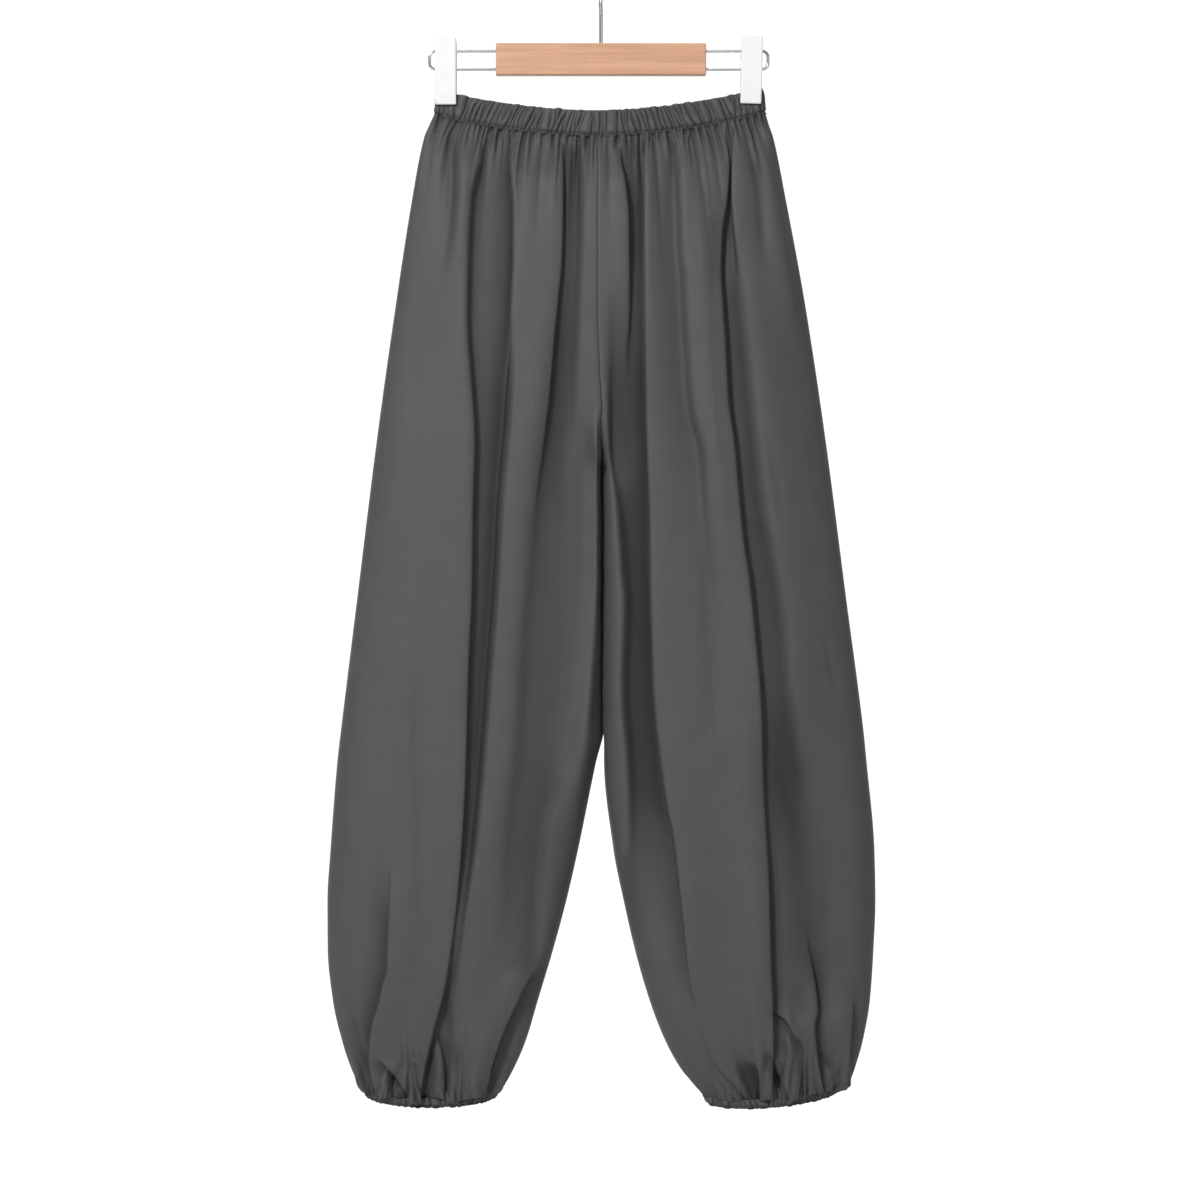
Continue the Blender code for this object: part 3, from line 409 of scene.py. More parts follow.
# Soft ridges (height above 0) and troughs: fades as above, path a row of (drop, x), and the
# reach to each side, in mm.
softColumns = ("leg", "fades", "height", "reach", "path")
softTable = (
    ("right", (430, 560, 900, 1040), -6.0, 25,
     ((450, -32), (532, -34), (612, -38), (752, -46), (852, -57), (902, -65), (962, -70),
      (1010, -66))),
    ("right", (460, 500, 780, 900), 9.0, 9,
     ((450, -1), (612, -2), (692, -6), (752, -12), (900, -34))),
    ("left", (280, 360, 860, 1000), 5.0, 30,
     ((352, 148), (452, 161), (612, 172), (752, 180), (902, 184), (1000, 184))),
    ("left", (190, 240, 330, 420), 5.0, 16, ((200, 172), (302, 182), (400, 192))),
    ("right", (165, 190, 230, 330), -3.0, 6, ((177, -150), (252, -146), (330, -148))),
    ("right", (150, 180, 560, 760), 1.6, 10, ((202, -104), (292, -106), (400, -107), (700, -116))),
    ("right", (720, 760, 940, 980), -1.2, 6, ((720, -182), (980, -176))),
    ("right", (1030, 1070, 1100, 1125), -3.5, 6, ((1040, -153), (1082, -150), (1125, -141))),
    ("right", (1040, 1075, 1120, 1140), -3.0, 5, ((1052, -248), (1092, -242), (1132, -231))),
    ("right", (1080, 1110, 1160, 1200), 2.5, 5, ((1092, -162), (1147, -158))),
    ("left", (165, 200, 270, 330), -2.5, 6, ((177, 148), (202, 150), (232, 157), (300, 162))),
    ("left", (262, 280, 318, 345), -2.0, 7, ((262, 119), (345, 118))),
    ("left", (480, 515, 550, 590), -0.9, 5, ((500, 168), (532, 174), (580, 180))),
    ("left", (680, 700, 725, 750), -0.9, 4, ((680, 220), (745, 235))),
    ("left", (165, 190, 500, 700), 1.6, 9, ((177, 100), (252, 102), (352, 104), (700, 136))),
    ("left", (165, 180, 200, 260), -1.8, 3.5, ((177, 11), (202, 12), (260, 13))),
    ("left", (1100, 1118, 1150, 1180), -3.5, 5,
     ((1100, 216), (1116, 230), (1124, 236), (1140, 233))),
    ("left", (1040, 1080, 1150, 1180), 2.2, 7, ((1050, 186), (1092, 190), (1150, 208))),
    ("left", (1096, 1118, 1140, 1156), -6.0, 8,
     ((1100, 143), (1118, 147), (1132, 150), (1150, 152))),
    ("right", (1112, 1130, 1150, 1170), -5.0, 7, ((1112, -206), (1132, -202), (1150, -197))),
    ("right", (480, 515, 620, 740), 6.0, 5, ((450, 0), (740, -1))),
    ("right", (190, 250, 480, 560), -1.0, 32, ((200, -165), (300, -176), (560, -192))),
    ("left", (560, 640, 720, 800), -2.2, 11, ((560, 107), (672, 110), (800, 113))),
    ("left", (1020, 1050, 1085, 1110), -4.0, 10, ((1020, 194), (1072, 196), (1110, 206))),
    ("left", (740, 850, 1000, 1080), -11.0, 30,
     ((752, 180), (812, 184), (852, 190), (902, 198), (952, 203), (1002, 206), (1080, 206))),
)

foldLook = {
    # painted shadow under the creases and painted shade in the troughs:
    "creaseShade": 0.55,  # darkness under the deepest crease's upper cloth
    "deepestCrease": 9,  # its fall, in mm
    "shadeReach": 0.6,  # of the reach that the crease's fall dies away over
    "troughShade": 0.05,  # darkness of a soft trough, for each mm of its depth
    "shoulder": 6 * mm,  # how far back from its rim a fold stands highest
    "narrowest": 4 * mm,  # a valley is never counted as narrower than this
    "deepensOver": (-10 * mm, 26 * mm),  # the widths over which it reaches its full depth
}


def rowsOf(leg, columns, table):
    # a table's rows for one leg, each with the names of its columns
    return [dict(zip(columns, row)) for row in table if row[0] == leg]


def alongPath(path, drop):
    # a line's x at any drop, along a smooth curve
    drops, places = zip(*path)
    return smoothAlong(drop / mm, drops, places) * mm


def present(fades, drop):
    # 0 above and below a fold and 1 where it is full, eased between
    begin, full, fading, gone = (f * mm for f in fades)
    return ramp(drop, begin, full) * (1 - ramp(drop, fading, gone))


def tuckOver(t):
    # sideways shift that carries the upper cloth over the lower: t times e to the -t^2/2
    return t * np.exp(-t * t / 2)


def valleyHeight(leg, x, drop):
    # a floor that slopes from the lip to the edge between two tanh turns, and a bell beside
    # each; also the sideways tuck and the painted shade of the floor
    look = foldLook
    height, sideways, shade = (np.zeros_like(x) for _ in range(3))
    for c in rowsOf(leg, valleyColumns, valleyTable):
        lip, edge = (alongPath(foldLines[c[key]], drop) for key in ("lip", "edge"))
        width = np.maximum(edge - lip, look["narrowest"])
        here = present(c["fades"], drop)
        atLip, atEdge = (x - lip) / (c["lipStep"] * mm), (x - edge) / (c["edgeStep"] * mm)
        turned, upper = 0.5 + 0.5 * np.tanh(atLip), 0.5 + 0.5 * np.tanh(atEdge)
        across = np.clip((x - lip) / width, 0, 1)
        inside = turned * (1 - upper)
        floor = np.interp(across, (0, 1), c["floors"])
        depth = c["depth"] * ramp(width, *look["deepensOver"]) * floor
        beyond = c["edgeRise"] * bump(x - edge - look["shoulder"], c["reach"] * mm)
        before = c["lipRise"] * bump(x - lip + look["shoulder"], c["reach"] * mm)
        height += here * mm * (upper * beyond + (1 - turned) * before - inside * depth)
        tucks = c["edgeTuck"] * tuckOver(atEdge) + c["lipTuck"] * tuckOver(atLip)
        sideways -= here * mm * tucks
        # painted shade across the floor
        shade += here * inside * np.interp(across, (0, 0.75, 1), c["shades"])
    return height, sideways, shade


def creaseHeight(leg, x, drop):
    # each crease is a tanh step under two bells, and a sideways tuck of the cloth over itself;
    # each soft ridge or trough is a bell
    look = foldLook
    height, sideways, shade = valleyHeight(leg, x, drop)
    for c in rowsOf(leg, creaseColumns, creaseTable):
        towards = 1 if c["over"] == "left" else -1
        over = (alongPath(foldLines[c["line"]], drop) - x) * towards
        here = present(c["fades"], drop)
        t = over / (c["step"] * mm)
        upper = 0.5 + 0.5 * np.tanh(t)
        rise = c["rise"] * upper * bump(over - look["shoulder"], c["reach"] * mm)
        fall = c["fall"] * (1 - upper) * bump(over, c["under"] * mm)
        height += here * mm * (rise - fall)
        sideways += here * mm * towards * c["tuck"] * tuckOver(t)
        # painted shadow under the crease's upper cloth
        dark = look["creaseShade"] * c["fall"] / look["deepestCrease"] * (1 - upper)
        shade += here * dark * bump(over, c["under"] * look["shadeReach"] * mm)
    for c in rowsOf(leg, softColumns, softTable):
        away = x - alongPath(c["path"], drop)
        soft = present(c["fades"], drop) * bump(away, c["reach"] * mm)
        height += c["height"] * mm * soft
        # painted shade in a trough
        shade += look["troughShade"] * max(-c["height"], 0) * soft
    return height, sideways, shade


# leg panels

panelLook = {
    "frontGrid": (216, 222),  # rows, columns
    "backGrid": (196, 150),
    "thickness": 0.0008,
    "endRows": 0.115,  # how much closer the rows stand at both ends
    "crowding": 4.0,  # how much closer the columns stand at a crease
    "crowdingReach": 0.0035,
    "topCrowding": 0.25,  # its share near the band
    "crowdingDrops": (0.190, 0.235),  # where it grows to the whole
    "seamCrowding": 3.0,
    "seeds": {"right": 11, "left": 23},
    "backSeed": 40,
    # creases
    "backShare": 0.8,  # the back's creases against those of the other leg's front
    "deepestShare": 0.80,  # no valley takes more of the half depth than this
    "creasesAtBand": (0.12, 0.050),  # the share left there, and how far to where all is back
    "creasesAtHem": (0.60, 0.035),
    "shadeStarts": 0.020,  # how far below the band the shade and the tucks are full
    "tuckStarts": 0.030,
    "sideCalm": 0.010,  # how far the creases die away before a seam
    "inseamCalm": 0.0030,
    "tuckCalm": 0.006,
    "billow": 0.0010,  # slow unevenness all over
    "billowStarts": (0.05, 0.03),  # how far from the band and from the hem it is full
    "billowWaves": 7,
    "billowAcross": (40, 120),  # radians a metre
    "billowDown": (6, 26),
    # gathers, where they run on into the panel from the waistband and the hem
    "puckerHeight": 0.0034,
    "puckerLengths": (0.006, 0.022),
    "longPucker": 2.2,  # a third of them are so many times longer
    # sideways for each metre down, the size of a wave along the band, and how far it grows
    "puckerWander": (0.5, 0.012, 0.014),
    "pleatWidth": 0.0024,
    "pleatWidens": 0.05,  # for each metre down
    # painted shade in each pleat's cusp:
    "pleatShade": (0.7, 0.35),  # and its share of the pleat's width
    "ridgeSpread": 0.36,  # unevenness of the gathers' grooves, in mean widths
    "ridgeHeights": (0.4, 1.15),
    # metres up the cloth for a whole width aside, the size of a wave, and how far it grows
    "ridgeLean": (0.13, 1 / 9, 0.04),
    "hemPuckers": {"count": 30, "height": 0.0030, "lengths": (0.006, 0.018)},
    "hemFolds": {"count": 12, "height": 0.0085, "lengths": (0.018, 0.050)},
    "hemFoldCalm": (0.6, 0.03),  # what an inseam takes from them, and how far it reaches
    # shares of painted shade in the hem folds' and in all gathers' grooves
    "hemFoldShade": 0.3,
    "gatherShade": 0.8,
    "gatherCalm": 0.003,
    "bagDepth": 0.0046,  # how far the cloth swells out and hangs over the hem casing
    "bagDrop": 0.0106,
    "bagAt": 0.007,  # above the casing
    "bagLeast": 0.25,  # its share between two lumps
    "lumpSize": 0.011,
    "hemCloses": (0.85, 0.0025),  # share that the casing takes from the folds, and its reach
    # seams and edges, most as an amount and its reach
    # painted shade along the seams under the band and over the hem
    "seamShade": 0.6,
    "seamShadeReach": (0.0022, 0.0018),  # at the band and at the hem
    "seamDip": (0.0005, 0.0016),
    "seamLean": (0.0024, 0.005),
    "seamWander": (0.0020, 0.006),  # unevenness of the line where the legs touch
    "wanderSize": 0.011,
    "touchWidth": 0.015,
    "partsOver": (0.770, 0.800),  # the drops where the legs part
    "sideShift": (0.0008, 0.005),
    "topTuck": (0.0030, 0.0018),  # behind the band the top edge goes inwards
    "topRise": (0.0018, 0.0015),  # and up
    "topDrawnIn": (0.0016, 0.007),  # and towards the middle of the band
    "hemTuck": (0.0012, 0.0018),
    "steepest": 2.5,  # slope of the plain section that the relief still follows
    # painted shade in the hollows of the folds, and the cloth's grain
    "hollowReach": 0.016,
    "hollowDepth": 0.010,
    "hollowShade": 0.25,
    "grainWidth": 0.27,
}

# The pleats that the waistband's gathers send down the front: x at the band, how far they
# lean per length, depth and length, all but the lean in mm.
pleatTable = (
    (-156, 0.00, 3.2, 34), (-148, 0.00, 2.4, 20), (-141, 0.02, 4.2, 65), (-133, 0.00, 3.0, 26),
    (-115, 0.00, 3.4, 42), (-105, 0.03, 4.2, 60), (-96, 0.00, 2.8, 24), (-80, -0.03, 3.8, 46),
    (-72, 0.02, 4.6, 85), (-63, 0.00, 2.8, 26), (-54, 0.00, 4.2, 65), (-45, -0.02, 3.6, 44),
    (-28, 0.02, 3.6, 38), (-20, 0.00, 4.2, 75), (-11, 0.00, 3.4, 36), (9, 0.00, 3.8, 60),
    (17, 0.02, 3.6, 36), (31, 0.00, 3.2, 32), (37, 0.00, 2.6, 20), (52, 0.00, 4.4, 80),
    (59, 0.00, 2.6, 24), (66, 0.02, 3.8, 44), (84, 0.00, 3.4, 38), (90, 0.02, 4.8, 95),
    (98, 0.00, 3.6, 55), (107, 0.00, 4.2, 70), (115, -0.02, 3.8, 46), (139, 0.00, 3.4, 38),
    (147, 0.02, 4.0, 60), (155, 0.00, 3.0, 34),
)


def pleatHeight(leg, share, width, below):
    # each is a cusped valley that widens and dies away down the panel, with painted shade
    # darkest at its cusp
    total, shade = np.zeros_like(share), np.zeros_like(share)
    look, side = panelLook, outward[leg]
    dark, core = look["pleatShade"]
    for x, lean, depth, length in pleatTable:
        if x * side > 0:
            place = 1 - abs(x) * mm / trouserForm["bandHalfWidth"]
            away = np.abs((share - place) * width + side * lean * below)
            wide = look["pleatWidth"] + look["pleatWidens"] * below
            fade = np.exp(-(below / (length * mm)) ** 1.5)
            total -= depth * mm * np.exp(-(away / wide) ** 1.3) * fade
            shade += dark * np.exp(-(away / (core * wide)) ** 1.2) * fade
    return total, shade


def ridges(phase, softness):
    # rounded ridges side by side: the sine of the way from groove to groove, to a power that
    # turns the grooves from cusps into waves
    return np.sin(math.pi * (phase - np.floor(phase))) ** (0.5 + softness)


# painted shade in the gathers' grooves
grooveLook = {
    "panelEdge": 0.8,  # the dark begins where a ridge is lower than this share of its height
    "casingEdge": 0.65,
    "panelShade": 2.0,
    "flank": (0.45, 6),  # how much of the dark keeps to the right flank, and how suddenly
    "shares": (0.3, 1.2),  # the palest and the darkest groove's
}


def grooveShade(phase, ridge, edge):
    # painted shade where a ridge is lower than the edge, most on its right flank, away from the
    # key light, and every groove its own darkness: the golden ratio's multiples spread evenly
    # between 0 and 1
    right, turn = grooveLook["flank"]
    flank = 1 - right + right * np.tanh(turn * (phase - np.floor(phase) - 0.5))
    own = np.interp(np.floor(phase + 0.5) * 0.618 % 1, (0, 1), grooveLook["shares"])
    return np.clip(2 * (edge - ridge), 0, 1) * flank * own


def fadingRidges(phase, heights, reaches, along):
    # ridges that die away along themselves, about their middle height, and the grooves'
    # painted shade
    i = np.clip(np.floor(phase).astype(int), 0, len(heights) - 1)
    fade = along / reaches[i]
    ridge = ridges(phase, fade.clip(0, 2))
    steady = 0.5 * np.exp(-(along / np.mean(reaches)) ** 1.5)
    left = np.exp(-fade**1.5)
    shade = grooveLook["panelShade"] * grooveShade(phase, ridge, grooveLook["panelEdge"]) * left
    return heights[i] * ridge * left - steady * np.mean(heights), shade


def gatherRidges(share, along, seed, count, height, lengths):
    # count ridges from seam to seam, uneven in width, height, length and lean
    look = panelLook
    rng = np.random.default_rng(seed)
    spread = look["ridgeSpread"]
    grooves = np.arange(count + 1) + np.pad(rng.uniform(-spread, spread, count - 1), 1)
    heights = height * rng.uniform(*look["ridgeHeights"], count)
    reaches = rng.uniform(*lengths, count)
    run, size, to = look["ridgeLean"]
    lean = (unevenly(share, size, seed + 2) - 0.5) * np.minimum(along, to) / run
    phase = np.interp((share + lean) * count, grooves, np.arange(count + 1))
    return fadingRidges(phase, heights, reaches, along)


def unevenly(along, size, seed):
    # a smooth random line between 0 and 1: cosine steps between values a size apart
    values = np.random.default_rng(seed).uniform(0, 1, 200)
    at = np.clip(along / size, 0, 198)
    i = at.astype(int)
    ease = 0.5 - 0.5 * np.cos((at - i) * math.pi)
    return values[i] + (values[i + 1] - values[i]) * ease


def billows(x, drop, seed):
    # a few long sine waves with their own directions and phases
    look = panelLook
    rng = np.random.default_rng(seed)
    total = np.zeros_like(x)
    for _ in range(look["billowWaves"]):
        across, down = rng.uniform(*look["billowAcross"]), rng.uniform(*look["billowDown"])
        total += np.sin(across * x + rng.uniform(-1, 1) * down * drop + rng.uniform(0, 6.28))
    return total / look["billowWaves"]


def panelShares(leg, back, down, columns):
    # columns crowd together at the creases: equal steps of a running total of their closeness
    look = panelLook
    source = otherLeg[leg] if back else leg
    drop = panelDrop(leg, 0.5, down)
    fine = np.linspace(0, 1, 900)[None, :]
    x = panelX(source, fine, drop)
    close = np.ones_like(x)
    start = look["topCrowding"]
    crowding = look["crowding"] * (start + (1 - start) * ramp(drop, *look["crowdingDrops"]))
    valleys = rowsOf(source, valleyColumns, valleyTable)
    lines = [(c["line"], c["fades"]) for c in rowsOf(source, creaseColumns, creaseTable)]
    lines += [(c[key], c["fades"]) for c in valleys for key in ("lip", "edge")]
    for line, fades in lines:
        away = x - alongPath(foldLines[line], drop)
        close += crowding * present(fades, drop) * bump(away, look["crowdingReach"])
    toSeam = (1 - fine) * np.abs(x[:, -1:] - x[:, :1])
    close += look["seamCrowding"] * bump(toSeam, look["crowdingReach"])
    total = np.cumsum(close, axis=1) - close[:, :1]
    total /= total[:, -1:]
    wanted = np.linspace(0, 1, columns)
    return np.array([np.interp(wanted, row, fine[0]) for row in total])


def hollowness(height, x, reach, depth):
    # how far each point lies under the mean of its row within a reach, as a share of a depth:
    # the mean is a difference of the row's running total
    total = np.zeros_like(height)
    steps = 0.5 * (height[:, 1:] + height[:, :-1]) * np.diff(x, axis=1)
    total[:, 1:] = np.cumsum(steps, axis=1)
    low = np.clip(x - reach, x[:, :1], x[:, -1:])
    high = np.clip(x + reach, x[:, :1], x[:, -1:])
    mean = np.array([(np.interp(b, at, sums) - np.interp(a, at, sums)) / (b - a)
                     for a, b, at, sums in zip(low, high, x, total)])
    return np.clip((mean - height) / depth, 0, 1)


def panelSurface(leg, back):
    # (side seam to inseam, waistband to hem) -> a point: plain oval section, plus creases,
    # gathers at both ends, slow billows and the bag of cloth over the hem; also its grain and
    # its painted shade
    look = panelLook
    rows, columns = look["backGrid" if back else "frontGrid"]
    t = np.linspace(0, 1, rows)[:, None]
    down = t - look["endRows"] * np.sin(2 * math.pi * t)
    share = panelShares(leg, back, down, columns)
    drop = panelDrop(leg, share, down)
    source = otherLeg[leg] if back else leg
    seed = look["seeds"][leg] + (look["backSeed"] if back else 0)

    below = np.maximum(belowBand(leg, share, drop), 0)
    above = np.maximum(panelDrop(leg, share, 1.0) - drop, 0)
    x = panelX(leg, share, drop)
    width = legWidth(leg, drop)
    toSide, toInseam = share * width, (1 - share) * width
    plain, hip = plainHalfDepth(leg, share, drop)

    # creases; above the fork both legs' act across the centre seam
    sourceX = panelX(source, share, drop)
    height, sideways, shade = creaseHeight(source, sourceX, drop)
    height = height + hip * creaseHeight(otherLeg[source], sourceX, drop)[0]
    if back:
        height, sideways = height * look["backShare"], -sideways * look["backShare"]
    height = height * grown(below, *look["creasesAtBand"]) * grown(above, *look["creasesAtHem"])
    underBand, overHem = look["billowStarts"]
    billow = look["billow"] * billows(x, drop, 3 + back)
    height += billow * ramp(below, 0, underBand) * ramp(above, 0, overHem)
    shade = shade * ramp(below, 0, look["shadeStarts"])
    sideways = sideways * ramp(below, 0, look["tuckStarts"])
    atSide = 1 - bump(toSide, look["sideCalm"])
    atInseam = 1 - bump(toInseam, look["inseamCalm"])
    calm = atSide * (hip + (1 - hip) * atInseam)
    dip, dipReach = look["seamDip"]
    height = height * calm - dip * bump(toInseam, dipReach) * hip
    sideways = sideways * calm * (1 - bump(toInseam, look["tuckCalm"]))

    # gathers
    folds, foldShade = gatherRidges(share, above, seed + 5, **look["hemFolds"])
    taken, takenReach = look["hemFoldCalm"]
    gathered = (
        pleatHeight(source, share, width, below),
        bandPuckers(leg, back, share, below),
        gatherRidges(share, above, seed + 9, **look["hemPuckers"]),
        (folds * (1 - taken * bump(toInseam, takenReach)), look["hemFoldShade"] * foldShade))
    relief = sum(heights for heights, _ in gathered)
    dark = look["gatherShade"] * sum(shades for _, shades in gathered)
    # painted shade along the seams under the band and over the hem
    bandShadeReach, hemShadeReach = look["seamShadeReach"]
    seams = dying(below, 1, bandShadeReach) + dying(above, 1, hemShadeReach)
    shade = shade * calm + dark + look["seamShade"] * seams
    least = look["bagLeast"]
    lump = least + (1 - least) * unevenly(share * width[-1:], look["lumpSize"], seed)
    bag = lump * (above / look["bagAt"]) * np.exp(1 - above / look["bagAt"])
    nearSeams = (1 - bump(toInseam, look["gatherCalm"])) * (1 - bump(toSide, look["gatherCalm"]))
    height += (relief + look["bagDepth"] * bag) * nearSeams
    height = height * (1 - dying(above, *look["hemCloses"]))
    limit = look["deepestShare"] * plain + 1e-6
    height = np.where(height < 0, -limit * np.tanh(-height / limit), height)

    # the relief stands square to the plain section, so it also shows from the sides
    steepest = look["steepest"]
    slope = np.clip(np.gradient(plain, axis=1) / np.gradient(x, axis=1), -steepest, steepest)
    steep = np.sqrt(1 + slope**2)
    together = 1 - ramp(drop, *look["partsOver"])
    touching = bump(toInseam, look["touchWidth"]) * together
    sideways = sideways - height * slope / steep * (1 - touching)
    tucked = (dying(below, *look["topTuck"]) + dying(above, *look["hemTuck"])) * calm
    depth = np.maximum(plain + height / steep - tucked, 0) + trouserForm["seamHalfGap"]

    # the side seams of the two legs don't lie behind each other, and the centre seam and the
    # line where the legs touch run aslant from front to back, so no light shows through
    shift, shiftReach = look["sideShift"]
    y = (depth if back else -depth) + shift * bump(toSide, shiftReach) * outward[leg]
    lean, leanReach = look["seamLean"]
    sideways = sideways + lean * np.tanh(y / leanReach) * touching
    wander, wanderReach = look["seamWander"]
    wavering = (unevenly(drop, look["wanderSize"], 8) - 0.5) * bump(toInseam, wanderReach)
    sideways = sideways + wander * wavering * (1 - hip) * together
    sideways = sideways - outward[leg] * dying(below, *look["topDrawnIn"]) * (1 - share)
    drop = drop + look["bagDrop"] * bag * nearSeams - dying(below, *look["topRise"])
    points = np.stack([x + sideways, y, -drop], axis=-1)
    grain = np.stack([share * look["grainWidth"], drop], axis=-1)
    # painted shade: how far below its neighbours a point lies, plus the creases', gathers' and
    # seams' shade
    paintedShade = hollowness(height, toSide, look["hollowReach"], look["hollowDepth"])
    return points, grain, np.clip(look["hollowShade"] * paintedShade + shade, 0, 1)


def legPanel(leg, back, material):
    # one panel as a thin shell, its faces outwards on both sides of both legs
    points, grain, paintedShade = panelSurface(leg, back)
    faces = gridFaces(*points.shape[:2], flip=(leg == "right") != back)
    face = "back" if back else "front"
    piece = addPiece(f"{face}{leg.capitalize()}Leg", points, faces, material,
                     [f"{face}_{leg}_leg"], grain, paintedShade)
    return thicken(piece, panelLook["thickness"])


# waistband and hem casings

bandLook = {
    "around": 1720,
    "thickness": 0.0020,
    "gathers": 170,
    "seed": 7,
    "ridge": 0.0038,
    # painted shade in the grooves
    "grooves": 2.4,  # their darkness
    "slant": 0.0110,
    "wander": 0.0028,
    "hang": 0.0005,
    "pinch": 0.0018,  # depth of the line that the stitches draw in
    "underClip": 0.25,  # share of the gathers left where a clip presses them flat
    "clipFrom": (0.136, 0.146),  # the distance from the middle over which it begins
    "inset": 0.0011,
    "taper": -0.007,  # the band widens a little towards its lower edge
    "corner": 0.016,  # and its top corners are rounded off
    "seamFold": 0.0032,  # inside, its foot thickens over the panels' top edges
    "stitches": 204,
    "stitchUp": 0.0024,  # above the casing's lower edge
}
hemLook = {
    "around": 640,
    "thickness": 0.0016,
    "gathers": 92,
    "seeds": {"right": 31, "left": 37},
    "ridge": 0.0027,
    # painted shade in the grooves
    "grooves": 3.2,
    "slant": 0.0020,
    "slantTurns": 90,
    "wander": 0.0010,
    "hang": 0.0,
    "pinch": 0.0008,
    "taper": 0.050,  # the casing draws in towards its lower edge
    "corner": 0.0,
    "seamFold": 0.0,
    "stitches": 92,
    "stitchUp": 0.0018,
}
casingLook = {  # both kinds
    "rows": 19,  # down each face
    "crowds": 0.55,  # how uneven the distances between grooves are
    "ridgeTops": (0.15, 1.05),  # a ridge's height at the top, middle and lower edge
    "ridgeMiddles": (0.3, 1.0),
    "ridgeFeet": (0.6, 1.0),
    "widestRidge": 1.6,  # a ridge stands higher the wider it is, up to so many mean widths
    "middle": 0.45,  # the height of a ridge that stands level with the plain casing
    "edgeRelief": 0.55,  # share of the relief at the top; all is there halfway down
    "reliefTo": 0.9,
    "insideRelief": 0.3,
    "pinchReach": 0.0011,
    "pinchFlattens": 0.3,
    # the share of the gathers that springs back below a clip's jaws, and where it does
    "freed": (0.75, 0.48, 0.75),
    "foldReach": 0.003,
    "cornerTo": 0.4,
    "scallop": 0.30,  # the lower edge hangs most under the ridges
    "crown": 0.16,  # and the top edge stands highest over them
    # painted shade along the stitches and at the casing's foot
    "shades": (0.6, 0.8),  # darkness along the stitches and at the foot
    "footReach": 0.0011,
    "grooveLeast": 0.3,  # the share of both that is left in a groove
}
threadLook = {
    "radius": 0.00022,
    "covers": 0.62,  # of the stitches' spacing
    "sides": 6,
    "swell": (0.5, 0.95, 1.0, 0.95, 0.5),  # of the radius, along a stitch
    "lift": 0.0002,  # of its middle, and how far its ends dip in from there
    "dip": 0.0005,
}


def evenLoop(x, y, count):
    # count points evenly spaced along a closed curve, their outward normals and the distance
    # run along the curve
    x, y = np.append(x, x[0]), np.append(y, y[0])
    along = np.concatenate([[0], np.cumsum(np.hypot(np.diff(x), np.diff(y)))])
    at = np.arange(count) / count * along[-1]
    x, y = np.interp(at, along, x), np.interp(at, along, y)
    dx, dy = np.roll(x, -1) - np.roll(x, 1), np.roll(y, -1) - np.roll(y, 1)
    length = np.hypot(dx, dy)
    return {"x": x, "y": y, "outX": dy / length, "outY": -dx / length, "along": at,
            "round": along[-1]}


def casingSection(height, thickness):
    # the casing's closed outline as (drop below its top edge, stand-out, 1 on the outer face):
    # down the outside, a half circle under, up the inside and a half circle over
    r = thickness / 2
    turn = np.linspace(0, math.pi, 6)[1:-1]
    face = np.linspace(0, 1, casingLook["rows"]) * (height - 2 * r) + r
    inside = 0 * face[::-2]
    drops = [face, height - r + r * np.sin(turn), face[::-2], r - r * np.sin(turn)]
    outs = [0 * face, r * np.cos(turn) - r, inside - thickness, -r - r * np.cos(turn)]
    outer = [1 + 0 * face, 0.5 + 0.5 * np.cos(turn), inside, 0.5 - 0.5 * np.cos(turn)]
    return np.concatenate(drops), np.concatenate(outs), np.concatenate(outer)


def gatherPlaces(count, round, slant, wander, seed):
    # where the grooves round a casing lie at half height, in uneven crowds, how far each leans
    # and bows, and how high the ridge beside it stands
    look = casingLook
    rng = np.random.default_rng(seed)
    gaps = rng.lognormal(0, look["crowds"], count)
    places = np.cumsum(gaps) / gaps.sum() * round
    return {"place": places, "lean": slant(places) + rng.normal(0, wander, count),
            "bow": rng.normal(0, wander / 2, count), "slant": slant, "round": round,
            "top": rng.uniform(*look["ridgeTops"], count),
            "middle": rng.uniform(*look["ridgeMiddles"], count),
            "low": rng.uniform(*look["ridgeFeet"], count)}


def ridgesAt(gathered, along, down):
    # the ridges at one height: grooves shifted by lean and bow, repeated once round each way
    g = gathered
    grooves = np.sort(g["place"] + g["lean"] * (down - 0.5) + g["bow"] * math.sin(math.pi * down))
    upTo = np.interp(down, [0, 0.5, 0.9], [0, 1, 2])
    low, high = (g["top"], g["middle"]) if upTo < 1 else (g["middle"], g["low"])
    heights = np.tile(low + (high - low) * (upTo - min(int(upTo), 1)), 3)
    edges = np.concatenate([grooves - g["round"], grooves, grooves + g["round"]])
    gaps = np.diff(edges, append=edges[-1]) * len(grooves) / g["round"]
    heights = heights * np.clip(gaps, 0, casingLook["widestRidge"])
    phase = np.interp(along, edges, np.arange(len(edges)))
    i = np.clip(np.floor(phase).astype(int), 0, len(heights) - 1)
    ridge = ridges(phase, 0.0)
    return heights[i] * ridge, grooveShade(phase, ridge, grooveLook["casingEdge"])


